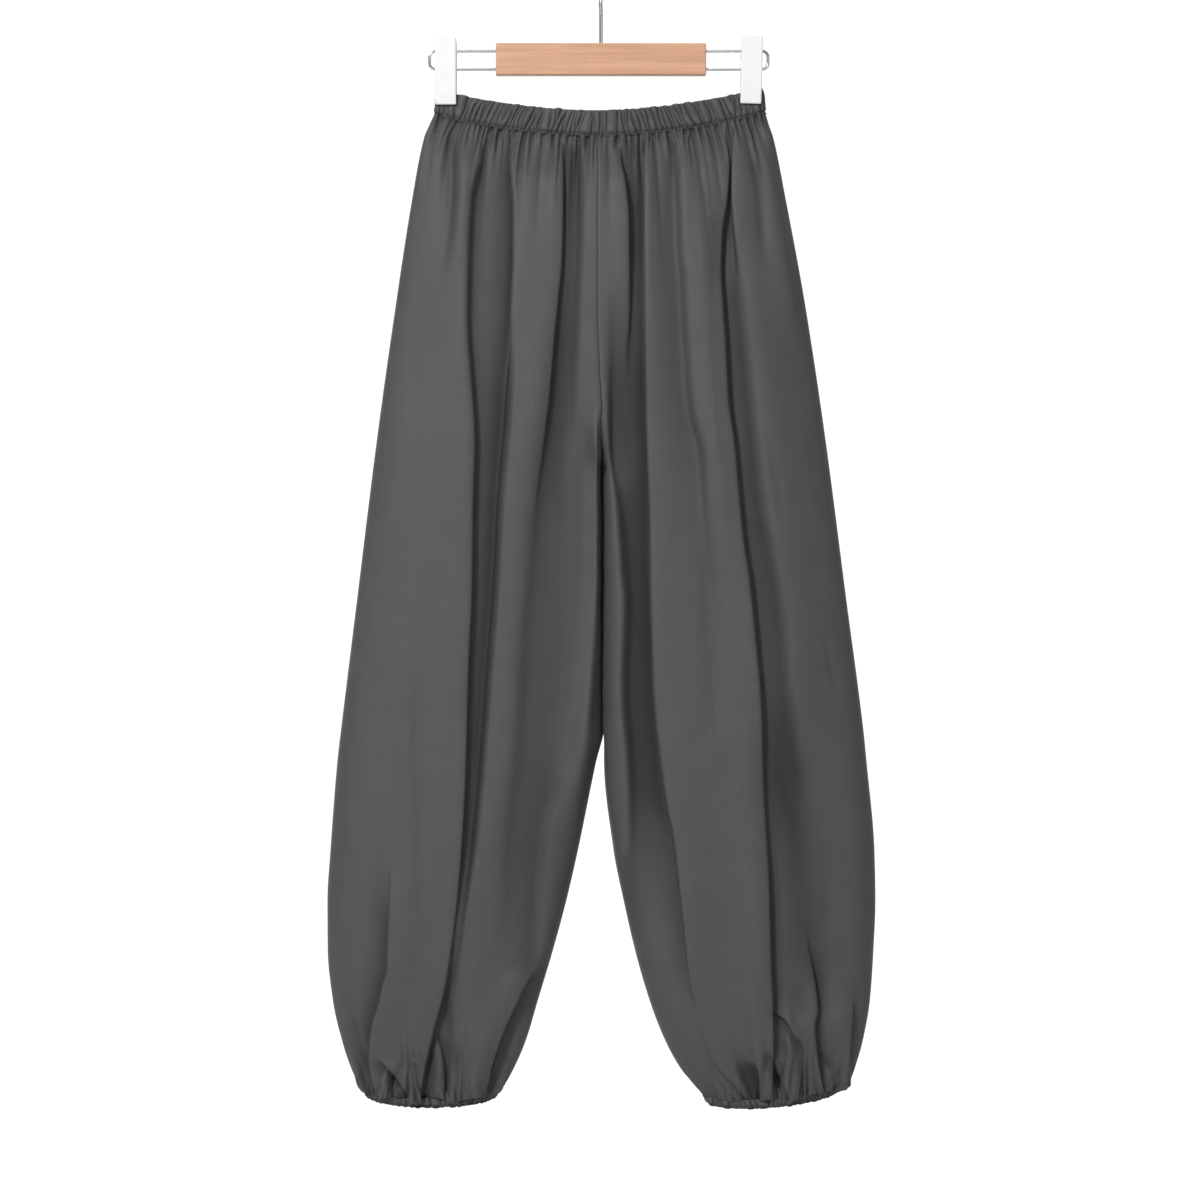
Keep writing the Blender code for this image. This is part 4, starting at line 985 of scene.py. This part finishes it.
def casingSurface(loop, topDrop, height, look, pressed, gathered):
    # a casing's points, their painted shade and place in the cloth, and the line its stitches
    # run along: ridges between grooves stand out from the section, its columns lean with them,
    # and the stitches pinch it
    both = casingLook
    down, out, outer = casingSection(height, look["thickness"])
    loop = {**loop, "topDrop": topDrop, "pressed": pressed}

    def place(down, out, outer, leaning=1):
        share = (down / height)[None, :]
        fromFoot = (height - down)[None, :]
        lean = gathered["slant"](loop["along"])[:, None] * (share - 0.5)
        along = loop["along"][:, None] + leaning * lean
        x, y, outX, outY, top, held = (
            np.interp(along, loop["along"], loop[key], period=loop["round"])
            for key in ("x", "y", "outX", "outY", "topDrop", "pressed"))
        levels = [ridgesAt(gathered, at % loop["round"], d) for at, d in zip(along.T, share[0])]
        ridge, dark = (np.stack(values, axis=1) for values in zip(*levels))
        freed, start, end = both["freed"]
        free = held + freed * (1 - held) * ramp(share, start, end)
        relief = look["ridge"] * (ridge - both["middle"]) * free
        swell = np.sin(math.pi * np.clip(share / both["reliefTo"], 0, 1))
        full = both["edgeRelief"] + (1 - both["edgeRelief"]) * swell
        pinched = bump(fromFoot - look["stitchUp"], both["pinchReach"])
        outside = relief * full * (1 - both["pinchFlattens"] * pinched) - look["pinch"] * pinched
        seamFold = dying(fromFoot, look["seamFold"], both["foldReach"])
        stand = out + outer * outside + (1 - outer) * (both["insideRelief"] * relief - seamFold)
        corner = look["corner"] * np.clip(1 - share / both["cornerTo"], 0, 1) ** 2
        tapered = 1 - look["taper"] * share**2 - corner
        atX = loop["centre"] + (x - loop["centre"]) * tapered + outX * stand
        scallop = both["scallop"] * share * look["ridge"] * ridge * free
        hang = scallop - both["crown"] * (1 - share) * relief + look["hang"] * share**2
        points = np.stack([atX, y + outY * stand, -(top + down[None, :] + hang)], axis=-1)
        # painted shade: in the grooves, along the stitches and at the foot, on the outer face only
        stitched, foot = both["shades"]
        lines = stitched * pinched + dying(fromFoot, foot, both["footReach"])
        least = both["grooveLeast"]
        shade = look["grooves"] * dark * free + lines * (least + (1 - least) * ridge)
        grain = np.stack([along, top + down[None, :]], axis=-1)
        return points, np.clip(shade, 0, 1) * outer, grain

    line = place(np.array([height - look["stitchUp"]]), np.zeros(1), np.ones(1), leaning=0)[0]
    return *place(down, out, outer), line[:, 0]


def stitchRow(name, line, loop, count, material, node):
    # threads along a closed line: short tubes whose ends dip into the cloth
    look = threadLook
    rings, sides = len(look["swell"]), look["sides"]
    across = np.linspace(-1, 1, rings)
    starts = (np.arange(count)[:, None] + 0.5 + across * look["covers"] / 2) / count
    at = starts % 1 * len(line)
    outward = np.stack([loop["outX"], loop["outY"], np.zeros(len(line))], axis=1)
    middle, out = (
        np.stack([np.interp(at, np.arange(len(line)), column, period=len(line))
                  for column in values.T], axis=-1) for values in (line, outward))
    middle = middle + out * (look["lift"] - look["dip"] * np.abs(across) ** 3)[:, None]
    ahead = middle[:, -1:] - middle[:, :1]
    ahead /= np.linalg.norm(ahead, axis=-1, keepdims=True)
    up = np.cross(ahead, out)
    turn = (np.arange(sides) / sides * 2 * math.pi)[:, None]
    radius = look["radius"] * np.array(look["swell"])[:, None, None]
    ring = out[:, :, None] * np.cos(turn) + up[:, :, None] * np.sin(turn)
    first = (np.arange(count) * rings * sides).tolist()
    tube = closedTubeFaces(rings, sides)
    faces = [[corner + k for corner in face] for k in first for face in tube]
    return addPiece(name, middle[:, :, None] + radius * ring, faces, material,
                    [node])


def casing(name, loop, topDrop, height, look, pressed, gathered, material, thread, node):
    # a closed casing and its row of stitches
    points, paintedShade, grain, line = casingSurface(loop, topDrop, height, look, pressed, gathered)
    faces = gridFaces(*points.shape[:2], wrapAcross=True, wrapDown=True)
    piece = addPiece(name, points, faces, material, [node], grain, paintedShade)
    return piece, stitchRow(name + "Stitches", line, loop, look["stitches"], thread, node)


def bandLoop():
    # the band's outline, front edge first from -X to +X, then the back, close-set at the ends
    f = trouserForm
    turn = np.linspace(-math.pi, 0, 2000, endpoint=False)
    front = f["bandHalfWidth"] * np.cos(turn)
    depth = bandHalfDepth(front)
    return evenLoop(np.concatenate([front, -front]), np.concatenate([-depth, depth]),
                    bandLook["around"])


def bandGathers(loop):
    # the feet of the front's grooves lean outwards, most halfway between middle and end
    look = bandLook

    def slant(along):
        at = np.interp(along, loop["along"], loop["x"]) / trouserForm["bandHalfWidth"]
        front = -np.sign(np.interp(along, loop["along"], loop["outY"]))
        return look["slant"] * np.sin(math.pi * at) * front
    return gatherPlaces(look["gathers"], loop["round"], slant, look["wander"], look["seed"])


def bandPuckers(leg, back, share, below):
    # the waistband's own ridges run on into the panel from the stitching and die away
    look = panelLook
    loop = bandLoop()
    gathered = bandGathers(loop)
    half = loop["y"] > 0 if back else loop["y"] < 0
    order = np.argsort(loop["x"][half])
    along = np.interp(bandX(leg, share), loop["x"][half][order], loop["along"][half][order])
    grooves = np.sort(gathered["place"] + gathered["lean"] / 2)
    count = len(grooves)
    # some run together and some apart, so they end in points
    wander, size, to = look["puckerWander"]
    along = along + wander * (unevenly(along, size, 3) - 0.5) * np.minimum(below, to)
    phase = np.interp(along, grooves, np.arange(count))
    rng = np.random.default_rng(bandLook["seed"] + 1)
    reaches = rng.uniform(*look["puckerLengths"], count)
    reaches = reaches * rng.choice([1, 1, look["longPucker"]], count)
    widest = casingLook["widestRidge"]
    wide = np.clip(np.diff(grooves, append=grooves[-1]) * count / loop["round"], 0, widest)
    return fadingRidges(phase, look["puckerHeight"] * gathered["low"] * wide, reaches, below)


def waistband(material, thread):
    # the band's loop, set in a little from the outline that its ridges fill out
    look = bandLook
    loop = bandLoop()
    gathered = bandGathers(loop)
    loop["centre"] = 0.0
    loop["x"] = loop["x"] - loop["outX"] * look["inset"]
    loop["y"] = loop["y"] - loop["outY"] * look["inset"]
    pressed = 1 - (1 - look["underClip"]) * ramp(np.abs(loop["x"]), *look["clipFrom"])
    return casing("gatheredWaistband", loop, bandTop(loop["x"]), trouserForm["bandHeight"],
                  look, pressed, gathered, material, thread, "waistband")


def hemCasing(leg, material, thread):
    # a superellipse: x and y are the cosine and what the oval leaves of the sine
    hem, look = hemForms[leg], hemLook
    turn = np.linspace(0, 2 * math.pi, 1440, endpoint=False)
    offCentre = np.sign(np.cos(turn)) * np.abs(np.cos(turn)) ** (2 / trouserForm["sectionPower"])
    depth = np.sign(np.sin(turn)) * hem["halfDepth"] * oval(offCentre)
    loop = evenLoop(hem["halfWidth"] * offCentre, depth, look["around"])
    share = np.clip(0.5 * (1 - outward[leg] * loop["x"] / hem["halfWidth"]), 0, 1)
    loop["x"] = loop["x"] + hem["centre"]
    loop["centre"] = hem["centre"]
    gathered = gatherPlaces(
        look["gathers"], loop["round"], lambda at: look["slant"] * np.sin(at * look["slantTurns"]),
        look["wander"], look["seeds"][leg])
    return casing(leg + "HemCasing", loop, hemTop(leg, share), hem["height"], look,
                  np.ones(len(share)), gathered, material, thread, leg + "_hem_casing")


# hanger

hangerForm = {
    "x": 0.0010,
    "hookWire": 0.0019,
    "hookInner": 0.0220,
    "stemTop": 0.0520,
    "stemBend": 0.0062,
    "joinsAt": -48,  # degrees round the hook's circle
    "endsAt": 212,
    "stemFoot": 0.1080,
    "barHalfLength": 0.1050,
    "armWire": 0.0015,
    "armUpper": 0.1032,
    "armLower": 0.1214,
    "armCorner": 0.0060,
    "armInBar": 0.0220,
    "armReach": {"right": -0.1703, "left": 0.1680},
    "clipX": {"right": -0.1540, "left": 0.1515},
    "clipLean": {"right": 0.0, "left": 1.3},
    "pinDrop": 0.1123,
    "coilRadius": 0.0026,
    "coilWire": 0.0005,
    "coilHalfLength": 0.0038,
    "coilTurns": 7,
    "coilLegRise": 0.0130,  # each spring leg runs up inside its jaw
    "coilLegOut": 0.0078,
    "wireSides": 20,
    "coilSides": 8,
    "endEase": (0.35, 0.6),  # a cut end's roundness, and over how many radii
}


def wirePiece(name, path, radius, material, node):
    # a round wire along a path, its cut ends slightly eased
    sides, (ease, over) = hangerForm["wireSides"], hangerForm["endEase"]
    path = np.asarray(path, float)
    ahead = np.linalg.norm(np.diff(path, axis=0), axis=1)
    run = np.concatenate([[0], np.cumsum(ahead)])
    nearEnd = 1 - np.clip(np.minimum(run, run[-1] - run) / (radius * over), 0, 1)
    radii = radius * np.sqrt(1 - ease * nearEnd**2)
    points = tubePoints(path, radii, sides, np.array([0.0, 1.0, 0.001]))
    return addPiece(name, points, closedTubeFaces(len(path), sides), material,
                    [node])


def hookPiece(material):
    # a straight stem, an S bend, then an arc about the rod: centre plus radius at each angle
    f = hangerForm
    x, inner, top, bend = f["x"], f["hookInner"], f["stemTop"], f["stemBend"]
    radius = inner + f["hookWire"]
    angles = np.radians(np.linspace(f["joinsAt"], f["endsAt"], 40))
    arc = [(radius * math.cos(a), 0, -inner + radius * math.sin(a)) for a in angles]
    stem = [(x, 0, -top - 2 * bend), (x, 0, -top), (x + bend, 0, -top + bend)]
    curve = roundedCurve(stem + arc, 5)
    last = curve[-1] - curve[-2]
    tip = curve[-1] + last / np.linalg.norm(last) * 0.0004
    path = np.vstack([[(x, 0, -f["stemFoot"]), (x, 0, -f["stemFoot"] + 0.001)], curve, [tip]])
    return wirePiece("hangerHook", path, f["hookWire"], material, "hanger_hook")


def armPiece(leg, material):
    # a long wire loop: two straight runs joined by quarter turns at the far end
    f = hangerForm
    side, corner = outward[leg], f["armCorner"]
    start = f["x"] + side * (f["barHalfLength"] - f["armInBar"])
    near = f["armReach"][leg] - side * corner
    upper, lower = -f["armUpper"], -f["armLower"]
    turn = np.radians(np.linspace(90, 0, 12))
    over = [(near + side * corner * math.cos(a), 0, upper - corner * (1 - math.sin(a)))
            for a in turn]
    under = [(near + side * corner * math.cos(a), 0, lower + corner * (1 - math.sin(a)))
             for a in turn[::-1]]
    path = [(start, 0, upper), (start + side * 0.001, 0, upper), *over,
            *under, (start + side * 0.001, 0, lower), (start, 0, lower)]
    return wirePiece(f"hangerArm{leg.capitalize()}", path, f["armWire"], material,
                     f"hanger_arm_{leg}")


def springPiece(leg, material):
    # a helix on the clip's pin whose two ends run up inside the jaws, leaning with the clip
    f = hangerForm
    radius, sides = f["coilRadius"], f["coilSides"]
    turn = np.linspace(0, 2 * math.pi * f["coilTurns"], f["coilTurns"] * 16 + 1)
    along = (turn / turn[-1] * 2 - 1) * f["coilHalfLength"]
    coil = np.stack([along, -radius * np.cos(turn), radius * np.sin(turn)], axis=1)
    rise, out = f["coilLegRise"], f["coilLegOut"]
    front = np.array([(along[0], -out, rise), (along[0], -out * 0.7, rise * 0.5)])
    back = np.array([(along[-1], out * 0.6, rise * 0.4), (along[-1], out, rise)])
    x, y, z = roundedCurve(np.vstack([front, coil[1:-8], back]), 2).T
    lean = math.radians(f["clipLean"][leg])
    path = np.stack([x * math.cos(lean) + z * math.sin(lean) + f["clipX"][leg], y,
                     z * math.cos(lean) - x * math.sin(lean) - f["pinDrop"]], axis=1)
    across = np.cross(np.gradient(path, axis=0), np.array([0.0, 0.37, 0.93]) + 0 * path)
    points = tubePoints(path, f["coilWire"], sides, across)
    return addPiece(f"clip{leg.capitalize()}Spring", points, closedTubeFaces(len(path), sides),
                    material, [f"clip_{leg}_spring"])


# materials

clothFinish = {
    "colour": (0.0778, 0.0730, 0.0785), "roughness": 0.56, "sheen": 0.06, "threads": 1900,
    "threadContrast": 0.12, "streaks": 0.065, "weaveHeight": 0.00005,
    # painted shade: how much of the colour it takes away at its fullest, and the violet it adds
    "paintedShadeStrength": 0.70, "paintedShadeTint": (0.0012, 0.0, 0.0018),
}
finishes = {
    "cloth": clothFinish,
    # the casings' grooves take a stronger painted shade
    "casing": {**clothFinish, "paintedShadeStrength": 0.84},
    "thread": {"colour": (0.085, 0.082, 0.088), "roughness": 0.50, "wear": (900, 0.2)},
    "wood": {"colour": (0.692, 0.388, 0.239), "dark": (0.577, 0.304, 0.177), "roughness": 0.45,
             "wear": (35.0, 0.10)},
    "steel": {"colour": (0.780, 0.765, 0.735), "roughness": 0.16, "wear": (140, 0.12)},
    "plastic": {"colour": (0.900, 0.897, 0.890), "roughness": 0.34, "wear": (55, 0.05)},
}


def newGroup(name, inputs, outputs):
    # a node group whose sockets are listed by their kind, and the sockets of its input node
    group = bpy.data.node_groups.new(name, "ShaderNodeTree")
    for way, kinds in (("INPUT", inputs), ("OUTPUT", outputs)):
        for kind, label in ((kind, label) for kind in kinds for label in kinds[kind]):
            group.interface.new_socket(label, in_out=way, socket_type="NodeSocket" + kind)
    return group, {s.name: s for s in nodeIn(group, "NodeGroupInput").outputs if s.name}


def nodeIn(tree, kind, values=None, **settings):
    # a node with its settings, and its inputs filled with values or joined to other sockets
    node = tree.nodes.new(kind)
    for key, value in settings.items():
        setattr(node, key, value)
    for key, value in (values or {}).items():
        if isinstance(value, bpy.types.NodeSocket):
            tree.links.new(value, node.inputs[key])
        else:
            node.inputs[key].default_value = value
    return node


def mathIn(tree, operation, a, b=0.0):
    # a sum, product, difference or sine of two sockets or numbers
    return nodeIn(tree, "ShaderNodeMath", {0: a, 1: b}, operation=operation).outputs[0]


def vectorIn(tree, operation, values):
    # the same for vectors and colours
    return nodeIn(tree, "ShaderNodeVectorMath", values, operation=operation).outputs[0]


def noiseIn(tree, vector, scale, detail, distortion=0.0):
    # soft noise between 0 and 1
    return nodeIn(tree, "ShaderNodeTexNoise", {"Vector": vector, "Scale": scale, "Detail": detail,
                                               "Distortion": distortion}).outputs[0]


def clothGroup():
    # plain weave: warp and weft are two sine ribs that take turns on top (a checker of the
    # two); long soft streaks run with the warp, and painted shade darkens and tints the hollows
    group, given = newGroup("clothWeaveAndPaintedShade", {
        "Vector": ("Grain", "Painted shade tint"), "Color": ("Colour",),
        "Float": ("Threads", "Thread contrast", "Streaks", "Weave height", "Painted shade",
                  "Painted shade strength")}, {"Color": ("Colour",), "Float": ("Height",)})

    def times(a, b):
        return mathIn(group, "MULTIPLY", a, b)

    def plus(a, b):
        return mathIn(group, "ADD", a, b)

    parts = nodeIn(group, "ShaderNodeSeparateXYZ", {0: given["Grain"]}).outputs
    warp, weft = (mathIn(group, "SINE", times(parts[axis], times(given["Threads"], math.pi)))
                  for axis in "XY")
    weave = times(warp, weft)
    stretched = vectorIn(group, "MULTIPLY", {0: given["Grain"], 1: (260.0, 7.0, 1.0)})
    noise = plus(noiseIn(group, stretched, 1.0, 3.0), noiseIn(group, given["Grain"], 34.0, 2.0))
    threads = times(weave, times(given["Thread contrast"], 0.5))
    streaks = times(plus(noise, -1.0), times(given["Streaks"], 3.0))
    # painted shade darkens the colour
    lit = mathIn(group, "SUBTRACT", 1.0, times(given["Painted shade"], given["Painted shade strength"]))
    bright = times(plus(plus(threads, streaks), 1.0), lit)
    shade = vectorIn(group, "SCALE", {0: given["Colour"], 3: bright})
    # and tints it violet
    tint = vectorIn(group, "SCALE", {0: given["Painted shade tint"], 3: given["Painted shade"]})
    out = nodeIn(group, "NodeGroupOutput", {"Colour": vectorIn(group, "ADD", {0: shade, 1: tint}),
                                            "Height": times(weave, given["Weave height"])})
    out.is_active_output = True
    return group


def wearGroup():
    # slow noise that shifts a colour's brightness and a roughness a little either way
    group, given = newGroup("surfaceWear", {
        "Vector": ("Vector",), "Color": ("Colour",), "Float": ("Roughness", "Scale", "Change")},
        {"Color": ("Colour",), "Float": ("Roughness",)})
    noise = noiseIn(group, given["Vector"], given["Scale"], 4.0)
    change = mathIn(group, "MULTIPLY", mathIn(group, "SUBTRACT", noise, 0.5), given["Change"])
    bright = mathIn(group, "ADD", change, 1.0)
    rougher = mathIn(group, "ADD", mathIn(group, "MULTIPLY", change, 2.5), 1.0)
    out = nodeIn(group, "NodeGroupOutput", {
        "Colour": vectorIn(group, "SCALE", {0: given["Colour"], 3: bright}),
        "Roughness": mathIn(group, "MULTIPLY", given["Roughness"], rougher)})
    out.is_active_output = True
    return group


def worn(tree, shader, group, colour, finish):
    # the wear group between a colour, a finish and the shader; also where the noise is placed
    place = nodeIn(tree, "ShaderNodeTexCoord").outputs["Object"]
    scale, change = finish["wear"]
    wear = nodeIn(tree, "ShaderNodeGroup", {
        "Vector": place, "Colour": colour, "Roughness": finish["roughness"], "Scale": scale,
        "Change": change}, node_tree=group)
    tree.links.new(wear.outputs["Colour"], shader.inputs["Base Color"])
    tree.links.new(wear.outputs["Roughness"], shader.inputs["Roughness"])
    return place


def newMaterial(name, **constants):
    # a Principled material with some of the shader's own sockets set
    material = bpy.data.materials.new(name)
    material.use_nodes = True
    tree = material.node_tree
    shader = tree.nodes["Principled BSDF"]
    for key, value in constants.items():
        shader.inputs[key.replace("_", " ")].default_value = value
    return material, tree, shader


def clothMaterial(name, finish, group):
    # the weave's colour with painted shade, and its height, on a satin shader with a little sheen
    material, tree, shader = newMaterial(name, Roughness=finish["roughness"],
                                         Sheen_Weight=finish["sheen"], Sheen_Roughness=0.45,
                                         Specular_IOR_Level=0.35)
    weave = nodeIn(tree, "ShaderNodeGroup", {
        "Grain": nodeIn(tree, "ShaderNodeUVMap", uv_map="clothGrain").outputs[0],
        "Painted shade": nodeIn(tree, "ShaderNodeAttribute", attribute_name="paintedShade").outputs["Fac"],
        "Painted shade strength": finish["paintedShadeStrength"], "Painted shade tint": finish["paintedShadeTint"],
        "Colour": (*finish["colour"], 1), "Threads": finish["threads"],
        "Thread contrast": finish["threadContrast"], "Streaks": finish["streaks"],
        "Weave height": finish["weaveHeight"]}, node_tree=group)
    raised = nodeIn(tree, "ShaderNodeBump", {"Height": weave.outputs["Height"], "Strength": 0.5,
                                             "Distance": 1.0}).outputs[0]
    tree.links.new(weave.outputs["Colour"], shader.inputs["Base Color"])
    tree.links.new(raised, shader.inputs["Normal"])
    return material


def wornMaterial(name, finish, group, **constants):
    # one colour and roughness, slightly worn
    material, tree, shader = newMaterial(name, **constants)
    worn(tree, shader, group, (*finish["colour"], 1), finish)
    return material


def woodMaterial(finish, group):
    # grain: noise drawn out along the bar, sharpened into thin lines, under a satin varnish
    material, tree, shader = newMaterial("beechWood", Coat_Weight=0.15, Coat_Roughness=0.25)
    colour = nodeIn(tree, "ShaderNodeMix", {6: (*finish["colour"], 1), 7: (*finish["dark"], 1)},
                    data_type="RGBA")
    place = worn(tree, shader, group, colour.outputs[2], finish)
    drawn = vectorIn(tree, "MULTIPLY", {0: place, 1: (9.0, 240.0, 240.0)})
    grain = noiseIn(tree, drawn, 1.0, 4.0, distortion=0.35)
    lines = nodeIn(tree, "ShaderNodeMapRange", {"Value": grain, "From Min": 0.36,
                                                "From Max": 0.68}).outputs[0]
    tree.links.new(lines, colour.inputs[0])
    raised = nodeIn(tree, "ShaderNodeBump", {"Height": grain, "Strength": 0.12,
                                             "Distance": 0.001}).outputs[0]
    tree.links.new(raised, shader.inputs["Normal"])
    return material


# stage, light and camera

stageLook = {
    "floorDrop": 1.300,
    "wallAt": 1.500,
    "sweep": 0.700,
    "width": 9.0,
    "front": -7.0,
    "height": 5.0,
    "white": (0.95, 0.95, 0.95),
    "glow": 1.08,
}
lightLook = {
    "ambient": 0.20,
    "lamps": (  # name, place, aimed at, size, watts
        ("keyLight", (-1.5, -3.3, 1.3), (0, 0, -0.60), 0.6, 100),
        ("fillLight", (1.6, -3.6, -0.2), (0, 0, -0.65), 2.0, 11),
        ("topLight", (-0.3, -0.6, 1.7), (0, 0.1, -0.5), 1.2, 8)),
}
cameraLook = {
    "lens": 100,
    "sensor": 36,
    "place": (0, -3.3333, -0.652),  # level with the thighs, square to the front
}


def makeStage():
    # floor and wall joined by a quarter circle, one seamless sheet
    s = stageLook
    turn = np.linspace(0, math.pi / 2, 24)
    bendY = s["wallAt"] - s["sweep"] + s["sweep"] * np.sin(turn)
    y = np.concatenate([[s["front"]], bendY, [s["wallAt"]]])
    z = np.concatenate([[0], s["sweep"] * (1 - np.cos(turn)), [s["height"]]]) - s["floorDrop"]
    half = s["width"] / 2
    points = [(x, a, b) for a, b in zip(y, z) for x in (-half, half)]
    mesh = bpy.data.meshes.new("backdrop")
    mesh.from_pydata(points, [], gridFaces(len(y), 2).tolist())
    mesh.shade_smooth()
    # the paper looks blown out to white, and lights the trousers no more than paper does
    material, tree, shader = newMaterial("backdropPaper", Roughness=0.9)
    shader.inputs["Base Color"].default_value = (*s["white"], 1)
    glow = nodeIn(tree, "ShaderNodeEmission", {"Strength": s["glow"]}).outputs[0]
    seen = nodeIn(tree, "ShaderNodeLightPath").outputs["Is Camera Ray"]
    mixed = nodeIn(tree, "ShaderNodeMixShader", {0: seen, 1: shader.outputs[0], 2: glow})
    clear = nodeIn(tree, "ShaderNodeBsdfTransparent").outputs[0]
    behind = nodeIn(tree, "ShaderNodeNewGeometry").outputs["Backfacing"]
    oneSided = nodeIn(tree, "ShaderNodeMixShader", {0: behind, 1: mixed.outputs[0], 2: clear})
    tree.links.new(oneSided.outputs[0], tree.nodes["Material Output"].inputs["Surface"])
    mesh.materials.append(material)
    backdrop = bpy.data.objects.new("backdrop", mesh)
    bpy.context.collection.objects.link(backdrop)


def aim(thing, place, target):
    # stands at the place with its -Z towards the target
    thing.location = place
    away = mathutils.Vector(place) - mathutils.Vector(target)
    thing.rotation_euler = away.to_track_quat("Z", "Y").to_euler()


def makeLights():
    # soft round lamps from the front, and a plain white surround
    for name, place, target, size, watts in lightLook["lamps"]:
        lamp = bpy.data.lights.new(name, "AREA")
        lamp.shape = "DISK"
        lamp.size = size
        lamp.energy = watts
        light = bpy.data.objects.new(name, lamp)
        bpy.context.collection.objects.link(light)
        aim(light, place, target)
    world = bpy.data.worlds.new("studio")
    world.use_nodes = True
    surround = world.node_tree.nodes["Background"].inputs
    surround["Color"].default_value = (1, 1, 1, 1)
    surround["Strength"].default_value = lightLook["ambient"]
    bpy.context.scene.world = world
    bpy.context.scene.view_settings.view_transform = "Standard"


def makeCamera():
    # looks straight along +Y
    data = bpy.data.cameras.new("camera")
    data.lens = cameraLook["lens"]
    data.sensor_width = cameraLook["sensor"]
    camera = bpy.data.objects.new("camera", data)
    bpy.context.collection.objects.link(camera)
    camera.location = cameraLook["place"]
    camera.rotation_euler = (math.pi / 2, 0, 0)
    bpy.context.scene.camera = camera


# build

weave, wear = clothGroup(), wearGroup()
cloth = clothMaterial("wovenCloth", finishes["cloth"], weave)
casingCloth = clothMaterial("elasticCasing", finishes["casing"], weave)
thread = wornMaterial("sewingThread", finishes["thread"], wear)
wood = woodMaterial(finishes["wood"], wear)
steel = wornMaterial("platedSteel", finishes["steel"], wear, Metallic=1.0)
plastic = wornMaterial("whitePlastic", finishes["plastic"], wear)
print("materials made")

panels = [legPanel(leg, back, cloth) for leg in outward for back in (False, True)]
print("leg panels made")
band, bandStitches = waistband(casingCloth, thread)
hems = [hemCasing(leg, casingCloth, thread) for leg in outward]
print("casings and stitches made")
hookPiece(steel)
for leg in outward:
    armPiece(leg, steel)
    springPiece(leg, steel)
dressed = {"hanger_bar": wood}
for leg in outward:
    dressed |= {f"clip_{leg}_pin": steel, f"clip_{leg}_front": plastic,
                f"clip_{leg}_back": plastic}
for node, material in dressed.items():
    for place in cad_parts[node].material_slots:
        place.material = material
print("hanger made")

makeStage()
makeLights()
makeCamera()
print("stage, lights and camera made")
